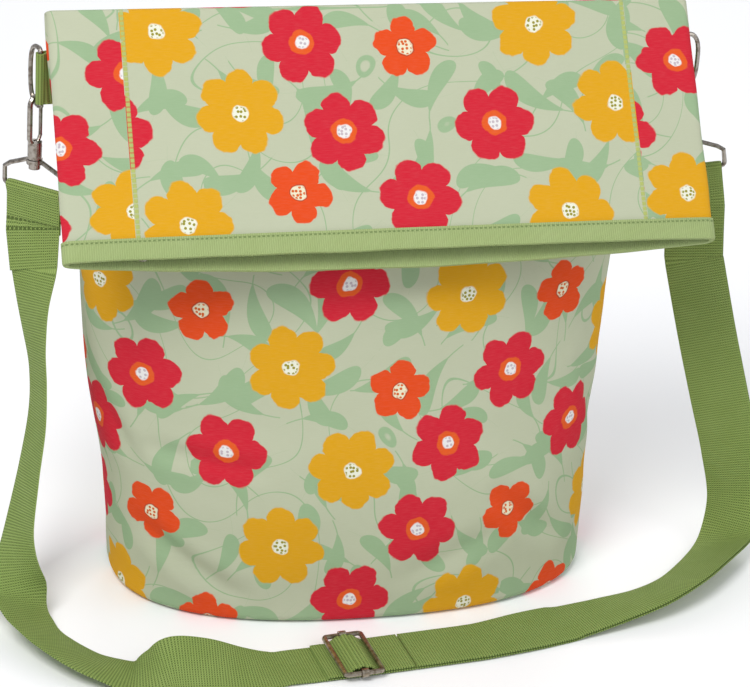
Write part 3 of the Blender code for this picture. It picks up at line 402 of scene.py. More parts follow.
def cloth_weave(shader, place, pitch):
    """The height of a plain weave: two crossing sets of threads."""
    across, along, _ = shader.split(place)
    turns = 2 * math.pi / pitch
    first = shader.math("SINE", shader.times(across, turns))
    second = shader.math("SINE", shader.times(along, turns))
    return shader.math("MULTIPLY_ADD", shader.times(first, second), 0.5, 0.5)


def flower_places(kind):
    """Where the repeat's flowers of one kind stand, in mm, with each one's turn in degrees."""
    width, height = PRINT_REPEAT
    places = []
    for row in range(FLOWER_ROWS):
        for column in range(FLOWER_COLUMNS):
            index = row * FLOWER_COLUMNS + column
            if FLOWER_KINDS[index] == kind:
                x = (column + 0.5 * (row % 2)) * width / FLOWER_COLUMNS
                y = (row + 0.5) * height / FLOWER_ROWS
                nudge_x = FLOWER_NUDGE * math.sin(2.4 * index + 0.5)
                nudge_y = FLOWER_NUDGE * math.cos(1.7 * index)
                places.append((x + nudge_x, y + nudge_y, 23.0 * index))
    return places


def flower_distance(shader, place, kind):
    """The nearest flower's distance, as a share of its petals' edge and as a share of its whole radius."""
    look = FLOWER_LOOKS[kind]
    radius, petals, notch = look["radius"], look["petals"], look["notch"]
    half_width, half_height = PRINT_REPEAT[0] / 2, PRINT_REPEAT[1] / 2
    to_edge, to_rim = 9.0, 9.0
    for x, y, turn in flower_places(kind):
        wrapped = shader.node("ShaderNodeVectorMath", operation="WRAP")
        shader.put(wrapped.inputs[0], shader.vector("SUBTRACT", place, (x, y, 0.0)))
        wrapped.inputs[1].default_value = (half_width, half_height, 1.0)
        wrapped.inputs[2].default_value = (-half_width, -half_height, -1.0)
        away = wrapped.outputs["Vector"]
        across, up, _ = shader.split(away)
        angle = shader.math("ARCTAN2", up, across)
        phase = shader.math("MULTIPLY_ADD", angle, petals / 2, math.radians(turn * petals / 2))
        lobe = shader.math("POWER", shader.math("ABSOLUTE", shader.math("COSINE", phase)), 0.7)
        edge = shader.math("MULTIPLY_ADD", lobe, notch * radius, (1 - notch) * radius)
        distance = shader.vector("LENGTH", away)
        to_edge = shader.math("MINIMUM", shader.math("DIVIDE", distance, edge), to_edge)
        to_rim = shader.math("MINIMUM", shader.math("DIVIDE", distance, radius), to_rim)
    return to_edge, to_rim


def leaf_mask(shader, place, pitch, length, width, shift, bend):
    """Teardrop leaves scattered over the cloth, one in each cell and each with its own turn."""
    cells = shader.node("ShaderNodeTexVoronoi", voronoi_dimensions="2D", feature="F1")
    moved = shader.vector("ADD", place, (shift, shift * 0.7, 0.0))
    shader.put(cells.inputs["Vector"], moved)
    cells.inputs["Scale"].default_value = 1 / pitch
    cells.inputs["Randomness"].default_value = 0.42
    centre = cells.outputs["Position"]
    turned = shader.node("ShaderNodeVectorRotate", rotation_type="Z_AXIS")
    shader.put(turned.inputs["Vector"], shader.vector("SUBTRACT", moved, centre))
    red, green, _ = shader.split(cells.outputs["Color"])
    shader.put(turned.inputs["Angle"], shader.times(red, 2 * math.pi))
    along, across, _ = shader.split(turned.outputs["Vector"])
    bent = shader.math("MULTIPLY_ADD", shader.times(along, along), bend, across)
    size = shader.math("MULTIPLY_ADD", green, 0.35, 0.80)
    part = shader.math("ADD", shader.math("DIVIDE", along, shader.times(size, length)), 0.5)
    inside = shader.math("MAXIMUM", shader.times(part, shader.math("SUBTRACT", 1.0, part)), 0.0)
    fat = shader.times(shader.math("SQRT", inside), shader.math("SUBTRACT", 1.30, part))
    half = shader.times(shader.times(fat, size), width)
    stem = shader.times(shader.band(part, 0.4, 0.6), 0.45)
    reach = shader.below(part, 1.30, 1.34)
    half = shader.math("MAXIMUM", half, shader.times(stem, reach))
    return shader.band(shader.math("SUBTRACT", half, shader.math("ABSOLUTE", bent)), -0.22, 0.22)


def speckle(shader, place, pitch):
    """The distance in mm to the nearest of many small dots."""
    cells = shader.node("ShaderNodeTexVoronoi", voronoi_dimensions="2D", feature="F1")
    shader.put(cells.inputs["Vector"], place)
    cells.inputs["Scale"].default_value = 1 / pitch
    cells.inputs["Randomness"].default_value = 0.6
    return shader.times(cells.outputs["Distance"], pitch)


def print_cloth(name, cut_at, seams=()):
    """Printed cotton: leaves and stems on a pale ground, with scattered flowers over them."""
    shader = Shader(name, roughness=0.86)
    shader.bsdf.inputs["Specular IOR Level"].default_value = 0.12
    place = shader.cloth_place()
    wobble = shader.node("ShaderNodeTexNoise")
    shader.put(wobble.inputs["Vector"], place)
    wobble.inputs["Scale"].default_value = 0.11
    drift = shader.scaled(shader.vector("SUBTRACT", wobble.outputs["Color"], (0.5, 0.5, 0.5)), 5.0)
    drawn = shader.vector("ADD", shader.vector("ADD", place, drift), (*cut_at, 0.0))
    ground = shader.mix(shader.noise(place, 0.02), (0.440, 0.470, 0.325), (0.478, 0.500, 0.360))
    leaf = shader.mix(shader.noise(place, 0.04), (0.265, 0.392, 0.218), (0.310, 0.430, 0.250))
    vines = shader.math("FRACT", shader.times(shader.noise(place, 0.012, 0.0), 7.0))
    vine = shader.math("ABSOLUTE", shader.math("SUBTRACT", vines, 0.5))
    ground = shader.mix(shader.below(vine, 0.012, 0.022), ground, leaf)
    for pitch, length, width, shift, bend in LEAVES:
        ground = shader.mix(leaf_mask(shader, place, pitch, length, width, shift, bend), ground, leaf)
    colour = ground
    for kind, look in FLOWER_LOOKS.items():
        to_edge, to_rim = flower_distance(shader, drawn, kind)
        petals = shader.below(to_edge, 0.975, 1.025)
        colour = shader.mix(petals, colour, look["petal"])
        for edge, tone in look["rings"]:
            inside = shader.below(to_rim, edge - 0.02, edge + 0.02)
            colour = shader.mix(inside, colour, tone)
        eye = look["rings"][-1][0]
        in_eye = shader.below(to_rim, eye - 0.05, eye)
        dots = shader.below(speckle(shader, place, 2.6), 0.75, 1.0)
        colour = shader.mix(shader.times(in_eye, dots), colour, look["dots"])
    weave = cloth_weave(shader, place, 0.85)
    across, along, _ = shader.split(place)
    height = shader.times(weave, 0.35)
    for seam in seams:
        off = shader.math("ABSOLUTE", shader.math("SUBTRACT", across, seam * 1000))
        band = shader.below(off, 0.9, 1.5)
        dashes = shader.band(shader.stripes(along, 3.1), -0.75, -0.35)
        thread = shader.times(band, shader.math("MULTIPLY_ADD", dashes, 0.5, 0.5))
        colour = shader.mix(thread, colour, (0.40, 0.45, 0.13))
        height = shader.math("MULTIPLY_ADD", thread, 0.9, height)
    slub = shader.noise(shader.vector("MULTIPLY", place, (0.25, 2.4, 1.0)), 0.7, 3.0)
    pale = shader.times(shader.band(slub, 0.35, 0.75), 0.022)
    colour = shader.mix(pale, colour, (0.86, 0.87, 0.80))
    colour = shader.mix(shader.times(weave, 0.10), colour, (0.20, 0.24, 0.16))
    shader.colour(colour)
    shader.bump(height, 0.0004, 0.8)
    return shader.done()


def webbing_cloth(name, stitch_rows=()):
    """Heavy cotton webbing: fine ribs across it, broken into a basket weave, with shade painted into the
    grooves between the ribs, and rows of stitches.
    """
    shader = Shader(name, roughness=0.84)
    shader.bsdf.inputs["Specular IOR Level"].default_value = 0.3
    place = shader.cloth_place()
    along, across, _ = shader.split(place)
    rib = shader.stripes(along, 1.7)
    thread = shader.stripes(across, 1.6)
    weave = shader.math("MULTIPLY_ADD", shader.times(rib, thread), 0.30, 0.5)
    weave = shader.math("MULTIPLY_ADD", rib, 0.22, weave)
    fuzz = shader.noise(place, 1.4, 4.0)
    tone = shader.mix(shader.noise(place, 0.05), (0.245, 0.340, 0.078), (0.320, 0.420, 0.125))
    # The weave's low places, the grooves between the ribs, are darkened: painted shade in the hollows of the
    # weave.
    tone = shader.mix(shader.below(weave, 0.15, 0.75), tone, (0.070, 0.120, 0.018))
    tone = shader.mix(shader.times(shader.band(fuzz, 0.45, 0.75), 0.25), tone, (0.36, 0.46, 0.17))
    height = shader.math("MULTIPLY_ADD", fuzz, 0.25, weave)
    for row in stitch_rows:
        off = shader.math("ABSOLUTE", shader.math("SUBTRACT", along, row * 1000))
        in_row = shader.below(off, 0.5, 0.9)
        dash = shader.band(shader.stripes(across, 3.0), -0.7, -0.3)
        tone = shader.mix(shader.times(in_row, dash), tone, (0.085, 0.130, 0.025))
        height = shader.math("SUBTRACT", height, shader.times(in_row, 1.2))
    shader.colour(tone)
    shader.bump(height, 0.0007, 0.9)
    return shader.done()


def binding_cloth(name, width):
    """Grosgrain tape: fine ribs across it, and one line of stitches near its upper edge."""
    shader = Shader(name, roughness=0.70)
    shader.bsdf.inputs["Specular IOR Level"].default_value = 0.35
    place = shader.cloth_place()
    along, up, _ = shader.split(place)
    rib = shader.stripes(along, 1.35)
    ribs = shader.math("MULTIPLY_ADD", rib, 0.5, 0.5)
    tone = shader.mix(shader.noise(place, 0.06), (0.300, 0.380, 0.140), (0.350, 0.430, 0.180))
    tone = shader.mix(shader.times(ribs, 0.22), tone, (0.170, 0.240, 0.070))
    row = shader.math("ABSOLUTE", shader.math("SUBTRACT", up, width * 1000 - 2.0))
    in_row = shader.below(row, 0.35, 0.65)
    dash = shader.band(shader.stripes(along, 2.8), -0.5, -0.1)
    stitch = shader.times(in_row, dash)
    tone = shader.mix(shader.times(stitch, 0.75), tone, (0.120, 0.180, 0.050))
    shader.colour(tone)
    shader.bump(shader.math("SUBTRACT", ribs, shader.times(in_row, 0.9)), 0.0004, 0.8)
    return shader.done()


def plain_cloth(name, light, dark, pitch):
    """A plain woven cloth, for the lining and the zip's tapes."""
    shader = Shader(name, roughness=0.82)
    place = shader.object_place()
    weave = cloth_weave(shader, place, pitch)
    tone = shader.mix(shader.noise(place, 0.05), light, dark)
    shader.colour(shader.mix(shader.times(weave, 0.25), tone, dark))
    shader.bump(weave, 0.0002, 0.6)
    return shader.done()


def plated_metal(name, bright, worn, roughness):
    """Nickel plate with faint tarnish and fine pits."""
    shader = Shader(name, bright, roughness, 1.0)
    place = shader.object_place()
    tarnish = shader.noise(place, 0.35, 4.0)
    shader.colour(shader.mix(shader.band(tarnish, 0.42, 0.70), bright, worn))
    shader.rough(shader.math("MULTIPLY_ADD", tarnish, 0.22, roughness - 0.08))
    shader.bump(shader.noise(place, 2.2, 3.0), 0.00008, 0.5)
    return shader.done()


def board_plastic(name):
    shader = Shader(name, (0.05, 0.05, 0.05), 0.6)
    place = shader.object_place()
    shader.colour(shader.mix(shader.noise(place, 0.2, 3.0), (0.040, 0.040, 0.040), (0.070, 0.070, 0.070)))
    shader.bump(shader.noise(place, 1.2, 2.0), 0.0002, 0.4)
    return shader.done()


# The tube's cross-section


def smooth_table(table, x):
    """A monotone cubic through the table's points."""
    slopes = []
    for (x0, y0), (x1, y1) in zip(table, table[1:]):
        slopes.append((y1 - y0) / (x1 - x0))
    tangents = [slopes[0]]
    for a, b in zip(slopes, slopes[1:]):
        tangents.append(2 * a * b / (a + b) if a * b > 0 else 0.0)
    tangents.append(slopes[-1])
    for i, ((x0, y0), (x1, y1)) in enumerate(zip(table, table[1:])):
        if x <= x1 or i == len(slopes) - 1:
            h = x1 - x0
            t = (x - x0) / h
            start = (2 * t**3 - 3 * t**2 + 1) * y0 + (t**3 - 2 * t**2 + t) * h * tangents[i]
            return start + (3 * t**2 - 2 * t**3) * y1 + (t**3 - t**2) * h * tangents[i + 1]


def signed_power(value, power):
    return math.copysign(abs(value) ** power, value)


def section_points(half_width, half_depth, squareness, count=240):
    """Points round a section from the front's middle towards +X: a flat oval core grown by a radius."""
    core_width = max(half_width - EDGE_RADIUS, 0.001)
    core_depth = max(half_depth - EDGE_RADIUS, 0.00002)
    points = []
    for i in range(count):
        angle = -math.pi / 2 + 2 * math.pi * i / count
        c, s = math.cos(angle), math.sin(angle)
        x = core_width * signed_power(c, 2 / squareness)
        y = core_depth * signed_power(s, 2 / squareness)
        across = signed_power(c, 2 - 2 / squareness) / core_width
        through = signed_power(s, 2 - 2 / squareness) / core_depth
        normal = Vector((across, through)).normalized()
        points.append((Vector((x, y)) + normal * EDGE_RADIUS, normal))
    return points


def refine_ends(points):
    """Extra points where the normal turns quickly between neighbours, as round the ends of a flat section."""
    refined = []
    for (p, n), (q, m) in zip(points, points[1:] + points[:1]):
        refined.append((p, n))
        steps = int(n.angle(m) / math.radians(9))
        for k in range(1, steps):
            share = k / steps
            normal = n.slerp(m, share)
            core = (p - n * EDGE_RADIUS).lerp(q - m * EDGE_RADIUS, share)
            refined.append((core + normal * EDGE_RADIUS, normal))
    return refined


class Section:
    """One cross-section of the tube, read by its share of the way round from the middle of the front."""

    def __init__(self, half_width, half_depth, squareness):
        self.points = refine_ends(section_points(half_width, half_depth, squareness))
        self.lengths = [0.0]
        loop = self.points + self.points[:1]
        for (p, _), (q, _) in zip(loop, loop[1:]):
            self.lengths.append(self.lengths[-1] + (q - p).length)
        self.girth = self.lengths[-1]

    def at(self, share, inset=0.0):
        target = (share % 1.0) * self.girth
        low, high = 0, len(self.points)
        while high - low > 1:
            middle = (low + high) // 2
            if self.lengths[middle] <= target:
                low = middle
            else:
                high = middle
        step = self.lengths[low + 1] - self.lengths[low]
        t = (target - self.lengths[low]) / step if step > 0 else 0.0
        (p, n) = self.points[low]
        (q, m) = self.points[(low + 1) % len(self.points)]
        return p.lerp(q, t) - n.lerp(m, t).normalized() * inset


def depth_for_girth(half_width, squareness):
    low, high = EDGE_RADIUS, GIRTH / 4
    for _ in range(22):
        middle = (low + high) / 2
        if Section(half_width, middle, squareness).girth < GIRTH:
            low = middle
        else:
            high = middle
    return (low + high) / 2


BASE_DEPTH = 2 * depth_for_girth(BASE_WIDTH / 2, BASE_SQUARENESS)


def body_section(share):
    growth = smooth_table(GROWTH, share)
    half_width = BASE_WIDTH / 2 + (FLAT_WIDTH - BASE_WIDTH) / 2 * growth
    squareness = BASE_SQUARENESS + (NECK_SQUARENESS - BASE_SQUARENESS) * min(1.0, growth * 1.5)
    half_depth = EDGE_RADIUS if share >= 1.0 else depth_for_girth(half_width, squareness)
    return Section(half_width, half_depth, squareness)


BODY_SECTIONS = [body_section(i / TUBE_STEPS) for i in range(TUBE_STEPS + 1)]
NECK_SECTIONS = []
for station in range(NECK_COLUMNS + 1):
    mouth = MOUTH_OPENING / 2 * max(0.0, station / NECK_COLUMNS - MOUTH_START) / (1 - MOUTH_START)
    NECK_SECTIONS.append(Section(FLAT_WIDTH / 2, EDGE_RADIUS + mouth, NECK_SQUARENESS))


def body_station(index, around, inset):
    share = index / TUBE_STEPS
    flat = BODY_SECTIONS[index].at(around, inset)
    middle_y = (FOLD_SETBACK + EDGE_RADIUS) * share**1.5
    middle_x = BELLY_SHIFT * math.sin(math.pi * share) ** 2
    return Vector((flat.x + middle_x, flat.y + middle_y, FOLD_HEIGHT * share))


def body_surface(z, around, inset):
    """A point of the bag's cloth at any height, on a smooth line through the stations."""
    position = min(z / FOLD_HEIGHT * TUBE_STEPS, TUBE_STEPS)
    index = min(int(position), TUBE_STEPS - 1)
    t = position - index
    rows = [min(max(index + k, 0), TUBE_STEPS) for k in (-1, 0, 1, 2)]
    before, start, end, after = (body_station(k, around, inset) for k in rows)
    pull = (end - before) / 2 * (t**3 - 2 * t**2 + t) + (after - start) / 2 * (t**3 - t**2)
    point = start * (2 * t**3 - 3 * t**2 + 1) + end * (3 * t**2 - 2 * t**3) + pull
    point.z = z
    return point


def side_edge(sign, z):
    return body_surface(z, sign * 0.25, 0.0)


def neck_length(around):
    in_front = max(0.0, math.cos(2 * math.pi * around))
    return NECK_LENGTH + RIM_DROP * in_front**0.7


def neck_place(flat, down):
    return HINGE + Vector((flat.x, 0, 0)) + NECK_DOWN * down + NECK_OUT * (EDGE_RADIUS + flat.y)


def neck_point(share, around, inset, extra=0.0):
    """A point of the neck at a share of the way down to the rim, plus extra metres past it."""
    position = min(max(share, 0.0), 1.0) * NECK_COLUMNS
    index = min(int(position), NECK_COLUMNS - 1)
    lower, upper = NECK_SECTIONS[index], NECK_SECTIONS[index + 1]
    flat = lower.at(around, inset).lerp(upper.at(around, inset), position - index)
    return neck_place(flat, NECK_START + (neck_length(around) - NECK_START) * share + extra)


def rim_point(around, inset, past):
    share = 1 + min(past, 0.0) / (neck_length(around) - NECK_START)
    return neck_point(share, around, inset, max(past, 0.0))


# Cloth


def shares_round(start, end):
    """Shares of the girth from start to end, close together round the tube's two edges."""
    found = [start]
    while found[-1] < end - 1e-9:
        here = found[-1]
        from_edge = abs(abs((here + 0.5) % 1.0 - 0.5) - 0.25)
        step = 0.0012 if from_edge < 0.012 else 0.0045
        found.append(end if end - here < 1.4 * step else here + step)
    return found


FRONT_SHARES = shares_round(-SEAM, SEAM)
BACK_SHARES = shares_round(SEAM, 1 - SEAM)
ALL_SHARES = FRONT_SHARES + BACK_SHARES[1:]
ROUND_STEPS = 6
BODY_ROWS = 100
ARC_ROWS = 26
NECK_ROWS = 48


def fade(value, start, end):
    t = min(max((value - start) / (end - start), 0.0), 1.0)
    return t * t * (3 - 2 * t)


def crease_depth(across, up):
    """How far the creases push the cloth in, with a soft ridge beside each."""
    depth = 0.0
    place = Vector((across, up))
    for start, end, deep, half in CREASES:
        start, end = Vector(start), Vector(end)
        line = end - start
        t = min(max((place - start).dot(line) / line.length_squared, 0.0), 1.0)
        off = (place - start - line * t).length / half
        taper = 1 - abs(2 * t - 1) ** 3 * 0.6
        depth += deep * taper * (math.exp(-off * off) - 0.35 * math.exp(-((off - 2.2) ** 2)))
    return depth


def body_relief(around, z):
    """How far the cloth stands in or out of its smooth form, from slack and creases."""
    across = ((around + 0.5) % 1.0 - 0.5) * GIRTH
    front = math.cos(2 * math.pi * around) > 0
    slack = noise.noise(Vector((across * 11, z * 13, 0.0 if front else 5.0))) * 0.0024
    slack += noise.noise(Vector((across * 26, z * 34, 9.0))) * 0.0008
    calm = fade(z, 0.0, 0.03) * (1 - fade(z, 0.20, 0.27))
    seam_off = min(abs(abs(across) - SEAM * GIRTH), 0.02)
    seam_pull = -0.0008 * math.exp(-((seam_off / 0.0016) ** 2)) * (1 - fade(z, 0.34, 0.36))
    out = slack * calm + seam_pull
    if front:
        out -= crease_depth(across, z) * fade(z, 0.004, 0.02)
    edge_calm = 1 - 0.7 * math.exp(-(((abs(across) - 0.2) / 0.03) ** 2)) * fade(z, 0.05, 0.10)
    return min(out * edge_calm, 0.0022)


def flap_relief(around, down):
    """Soft swells in the flap's outer cloth, quiet at the fold and the rim."""
    across = ((around + 0.5) % 1.0 - 0.5) * GIRTH
    behind = math.cos(2 * math.pi * around) < 0
    if not behind:
        return 0.0
    calm = fade(down, 0.004, 0.03) * (1 - fade(down, 0.118, 0.134))
    from_middle = abs(abs(across) - GIRTH / 2)
    swell = noise.noise(Vector((from_middle * 14, down * 20, 3.0 if across > 0 else 7.0))) * 0.0014
    return max(swell, -0.0004) * calm


def fold_arc(t, radius):
    """The cloth's line over the fold, as Y and Z from the hinge: up from the body and down along the neck."""
    down, out = NECK_DOWN.yz, NECK_OUT.yz
    corners = (Vector((1, 0)), Vector((1, 0.12)), out - down * 0.15, out)
    weights = ((1 - t) ** 3, 3 * t * (1 - t) ** 2, 3 * t * t * (1 - t), t**3)
    place = Vector((0, 0))
    for corner, weight in zip(corners, weights):
        place += corner * weight * radius
    return place


def tube_grid(inset, shares):
    """The tube's points: up from the rounded bottom edge, over the fold, and down the neck to the rim."""
    rows, marks = [], {}
    for k in range(ROUND_STEPS):
        angle = math.pi / 2 * k / ROUND_STEPS
        z = BASE_ROUNDING * (1 - math.cos(angle))
        tucked = BASE_ROUNDING * (1 - math.sin(angle))
        rows.append([body_surface(z, around, inset + tucked) for around in shares])
    for k in range(BODY_ROWS + 1):
        z = BASE_ROUNDING + (FOLD_HEIGHT - BASE_ROUNDING) * k / BODY_ROWS
        rows.append([body_surface(z, around, inset) for around in shares])
    marks["fold"] = len(rows) - 1
    edge = [BODY_SECTIONS[-1].at(around, inset) for around in shares]
    for k in range(1, ARC_ROWS):
        t = k / ARC_ROWS
        row = []
        for flat in edge:
            radius = EDGE_RADIUS + flat.y + CLEARANCE * (1 - t)
            row.append(HINGE + Vector((flat.x, *fold_arc(t, radius))))
        rows.append(row)
    for k in range(NECK_ROWS + 1):
        rows.append([neck_point(k / NECK_ROWS, around, inset) for around in shares])
    marks["neck"] = len(rows) - 1 - NECK_ROWS
    return np.array(rows, float), marks


def grid_normals(points):
    """Normals of a grid that closes on itself across, outward."""
    core = points[:, :-1]
    across = np.roll(core, -1, 1) - np.roll(core, 1, 1)
    up = np.gradient(core, axis=0)
    normals = np.cross(across, up)
    lengths = np.linalg.norm(normals, axis=2, keepdims=True)
    weak = lengths[..., 0] < 1e-9
    normals = normals / np.maximum(lengths, 1e-12)
    for row in range(1, len(normals)):
        normals[row][weak[row]] = normals[row - 1][weak[row]]
    return np.concatenate([normals, normals[:, :1]], axis=1)


def grid_mesh(name, points, coordinates, material, normals=None, flip=False):
    """A sheet through a grid of points, with its place on the cloth as its UV map."""
    rows, columns = points.shape[:2]
    faces = []
    for i in range(rows - 1):
        for k in range(columns - 1):
            a = i * columns + k
            face = (a, a + 1, a + columns + 1, a + columns)
            faces.append(face[::-1] if flip else face)
    mesh = bpy.data.meshes.new(name)
    mesh.from_pydata([tuple(p) for p in points.reshape(-1, 3)], [], faces)
    layer = mesh.uv_layers.new(name="cloth")
    places = coordinates.reshape(-1, 2)
    index = np.zeros(len(mesh.loops), int)
    mesh.loops.foreach_get("vertex_index", index)
    layer.data.foreach_set("uv", places[index].astype(np.float32).ravel())
    mesh.shade_smooth()
    if normals is not None:
        mesh.normals_split_custom_set_from_vertices([tuple(n) for n in normals.reshape(-1, 3)])
    mesh.materials.append(material)
    obj = bpy.data.objects.new(name, mesh)
    bpy.context.scene.collection.objects.link(obj)
    return obj


def lengths_up(points, column, origin_row):
    """The cloth's length along one column, from a row of the grid."""
    steps = np.linalg.norm(np.diff(points[:, column], axis=0), axis=1)
    total = np.concatenate([[0.0], np.cumsum(steps)])
    return total - total[origin_row]


def build_cloth():
    points, marks = tube_grid(0.0, ALL_SHARES)
    normals = grid_normals(points)
    fold, neck = marks["fold"], marks["neck"]
    middle_front = min(range(len(ALL_SHARES)), key=lambda i: abs(ALL_SHARES[i]))
    middle_back = min(range(len(ALL_SHARES)), key=lambda i: abs(ALL_SHARES[i] - 0.5))
    up_front = lengths_up(points, middle_front, 0)
    down_back = lengths_up(points, middle_back, neck)
    for row in range(ROUND_STEPS, fold):
        for column, around in enumerate(ALL_SHARES):
            points[row, column] += normals[row, column] * body_relief(around, points[row, column, 2])
    for row in range(neck + 1, len(points)):
        for column, around in enumerate(ALL_SHARES):
            points[row, column] += normals[row, column] * flap_relief(around, down_back[row])
    normals = grid_normals(points)
    front_count = len(FRONT_SHARES)
    stretches = (
        ("bag", slice(0, fold + 1)),
        ("fold", slice(fold, neck + 1)),
        ("flap", slice(neck, None)),
    )
    pieces = {}
    for word, columns, middle, along, material in (
        ("front", slice(0, front_count), 0.0, up_front, FRONT_PRINT),
        ("back", slice(front_count - 1, len(ALL_SHARES)), 0.5, down_back, BACK_PRINT),
    ):
        across = (np.array(ALL_SHARES[columns]) - middle) * GIRTH
        if word == "back":
            across = -across
        coordinates = np.stack(np.meshgrid(across, along), axis=2)
        for part, rows in stretches:
            name = f"{part}_{word}_cloth"
            part_normals = normals[rows, columns]
            piece = grid_mesh(name, points[rows, columns], coordinates[rows], material, part_normals)
            pieces[name] = piece
    for name, piece in pieces.items():
        if name.startswith("bag"):
            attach(piece, "bag")
        elif name.startswith("flap"):
            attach(piece, "neck")
        else:
            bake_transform(piece)
    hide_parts("front_panel")
    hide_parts("back_panel")
    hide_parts("neck_front_panel")
    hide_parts("neck_back_panel")
    build_bottom()
    build_lining()


def disc(name, z, inset, material):
    """The cloth across the bottom of the tube, as rings of points out to its edge."""
    rim = [body_surface(0.0, around, inset) for around in ALL_SHARES]
    rows = []
    for k in range(13):
        share = max(k / 12, 0.02)
        rows.append([Vector((p.x * share, p.y * share, z)) for p in rim])
    points = np.array(rows, float)
    return grid_mesh(name, points, points[..., :2], material, flip=True)


def build_bottom():
    bottom = disc("bag_base_cloth", 0.0002, BASE_ROUNDING - 0.0004, FRONT_PRINT)
    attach(bottom, "bag")
    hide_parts("base_panel")


def build_lining():
    """The lining inside the body and the neck, and across the floor of the bag."""
    shares = ALL_SHARES[::2] + ALL_SHARES[-1:]
    rows = []
    for k in range(61):
        z = LINING_FLOOR + (FOLD_HEIGHT - LINING_FLOOR) * k / 60
        inset = LINING_INSET + 0.0010 * (1 - fade(z, 0.30, 0.36))
        inset += 0.0035 * fade(z, 0.0, 0.02) * (1 - fade(z, 0.22, 0.28))
        rows.append([body_surface(z, around, inset) for around in shares])
    points = np.array(rows, float)
    lining = grid_mesh("bag_inner_cloth", points, points[..., :2], LINING_LOOK, flip=True)
    neck_rows = [[neck_point(k / 24, around, LINING_INSET) for around in shares] for k in range(25)]
    points = np.array(neck_rows, float)
    neck_lining = grid_mesh("flap_inner_cloth", points, points[..., :2], LINING_LOOK, flip=True)
    floor_lining = disc("floor_inner_cloth", LINING_FLOOR, LINING_INSET + 0.0010, LINING_LOOK)
    for piece, body, node in (
        (lining, "bag", "bag_lining"),
        (floor_lining, "bag", "lining_base"),
        (neck_lining, "neck", "neck_lining"),
    ):
        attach(piece, body)
        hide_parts(node)


def closed_band(name, outer, inner, widths, lengths, material):
    """A closed strip between two grids. widths and lengths are each point's place on the cloth."""
    bm = bmesh.new()
    rows, columns = len(outer), len(outer[0])
    skins = [[[bm.verts.new(p) for p in row] for row in grid] for grid in (outer, inner)]
    place = {}
    for skin in skins:
        for i in range(rows):
            for k in range(columns):
                place[skin[i][k]] = (lengths[k], widths[i])
    for skin in skins:
        for i in range(rows - 1):
            for k in range(columns - 1):
                bm.faces.new((skin[i][k], skin[i + 1][k], skin[i + 1][k + 1], skin[i][k + 1]))
    first, second = skins
    for k in (0, columns - 1):
        for i in range(rows - 1):
            bm.faces.new((first[i][k], first[i + 1][k], second[i + 1][k], second[i][k]))
    for i in (0, rows - 1):
        for k in range(columns - 1):
            bm.faces.new((first[i][k], first[i][k + 1], second[i][k + 1], second[i][k]))
    bmesh.ops.recalc_face_normals(bm, faces=bm.faces)
    layer = bm.loops.layers.uv.new("cloth")
    for face in bm.faces:
        for loop in face.loops:
            loop[layer].uv = place[loop.vert]
    mesh = bpy.data.meshes.new(name)
    bm.to_mesh(mesh)
    bm.free()
    mesh.shade_smooth()
    mesh.set_sharp_from_angle(angle=math.radians(50))
    mesh.materials.append(material)
    obj = bpy.data.objects.new(name, mesh)
    bpy.context.scene.collection.objects.link(obj)
    return obj


def build_binding(name, start, end, node):
    """A tape folded over the rim, a little uneven along its lower edge."""
    outside = -(CLEARANCE + BINDING)
    inside = WALL + CLEARANCE + LINING + CLEARANCE
    below = CLEARANCE + BINDING
    upper = -BINDING_HEIGHT + below
    shares = [start + (end - start) * i / 220 for i in range(221)]
    heights = [upper + (below - upper) * t for t in (0.0, 0.12, 0.24, 0.5, 0.76, 0.94)]
    outer_path = [(outside, h) for h in heights] + [(outside + 0.0004, below + 0.0001)]
    outer_path += [(inside + BINDING - 0.0004, below + 0.0001)]
    outer_path += [(inside + BINDING, h) for h in reversed(heights)]
    inner_path = []
    for inset, height in outer_path:
        inner_path.append((outside + BINDING if inset < inside else inside, min(height, CLEARANCE)))
    places = [0.0]
    for (a, b), (c, d) in zip(outer_path, outer_path[1:]):
        places.append(places[-1] + math.hypot(c - a, d - b))
    widths = [BINDING_HEIGHT - place for place in places]
    outer, inner = [], []
    for around in shares:
        swell = 0.00025 * noise.noise(Vector((around * GIRTH * 60, 2.0, 0.0)))
        sag = 0.0007 * noise.noise(Vector((around * GIRTH * 22, 5.0, 0.0)))
        uneven = [(inset + swell * (inset < 0), past + sag * (past > 0)) for inset, past in outer_path]
        outer.append([rim_point(around, inset, past) for inset, past in uneven])
        inner.append([rim_point(around, inset, past) for inset, past in inner_path])
    lengths = [around * GIRTH for around in shares]
    outer = [list(column) for column in zip(*outer)]
    inner = [list(column) for column in zip(*inner)]
    piece = closed_band(name, outer, inner, widths, lengths, BINDING_LOOK)
    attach(piece, "neck")
    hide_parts(node)


# Webbing


def hook_reach():
    return LOOP_WIRE + CLEARANCE + BARREL_LENGTH + EYE_HEIGHT - HOOK_WIRE - RING_WIRE - RING_PLAY


def loop_room(setting):
    shoulder = RING_Z - RING_HALF - hook_reach() - LOOP_SHOULDER_DROP
    turn = math.radians(setting["loop_turn"])
    reach = (LOOP_HALF + LOOP_WIRE) * math.cos(turn) + LOOP_WIRE * abs(math.sin(turn))
    hook_out = HOOK_ON_RING * math.cos(math.radians(setting["back_turn"]))
    return abs(side_edge(setting["sign"], shoulder).x) + reach + LOOP_PLAY - hook_out


def ring_matrix(side):
    setting = SIDES[side]
    sign = setting["sign"]
    turn = math.radians(setting["back_turn"])
    if sign < 0:
        turn = math.pi - turn
    widest = side_edge(sign, RING_Z + TAB_WIDTH / 2)
    out = max(abs(widest.x) + setting["bar_out"], loop_room(setting))
    place = Vector((sign * out, side_edge(sign, RING_Z).y + BAR_BACK, RING_Z))
    return Matrix.Translation(place) @ Matrix.Rotation(turn, 4, "Z")


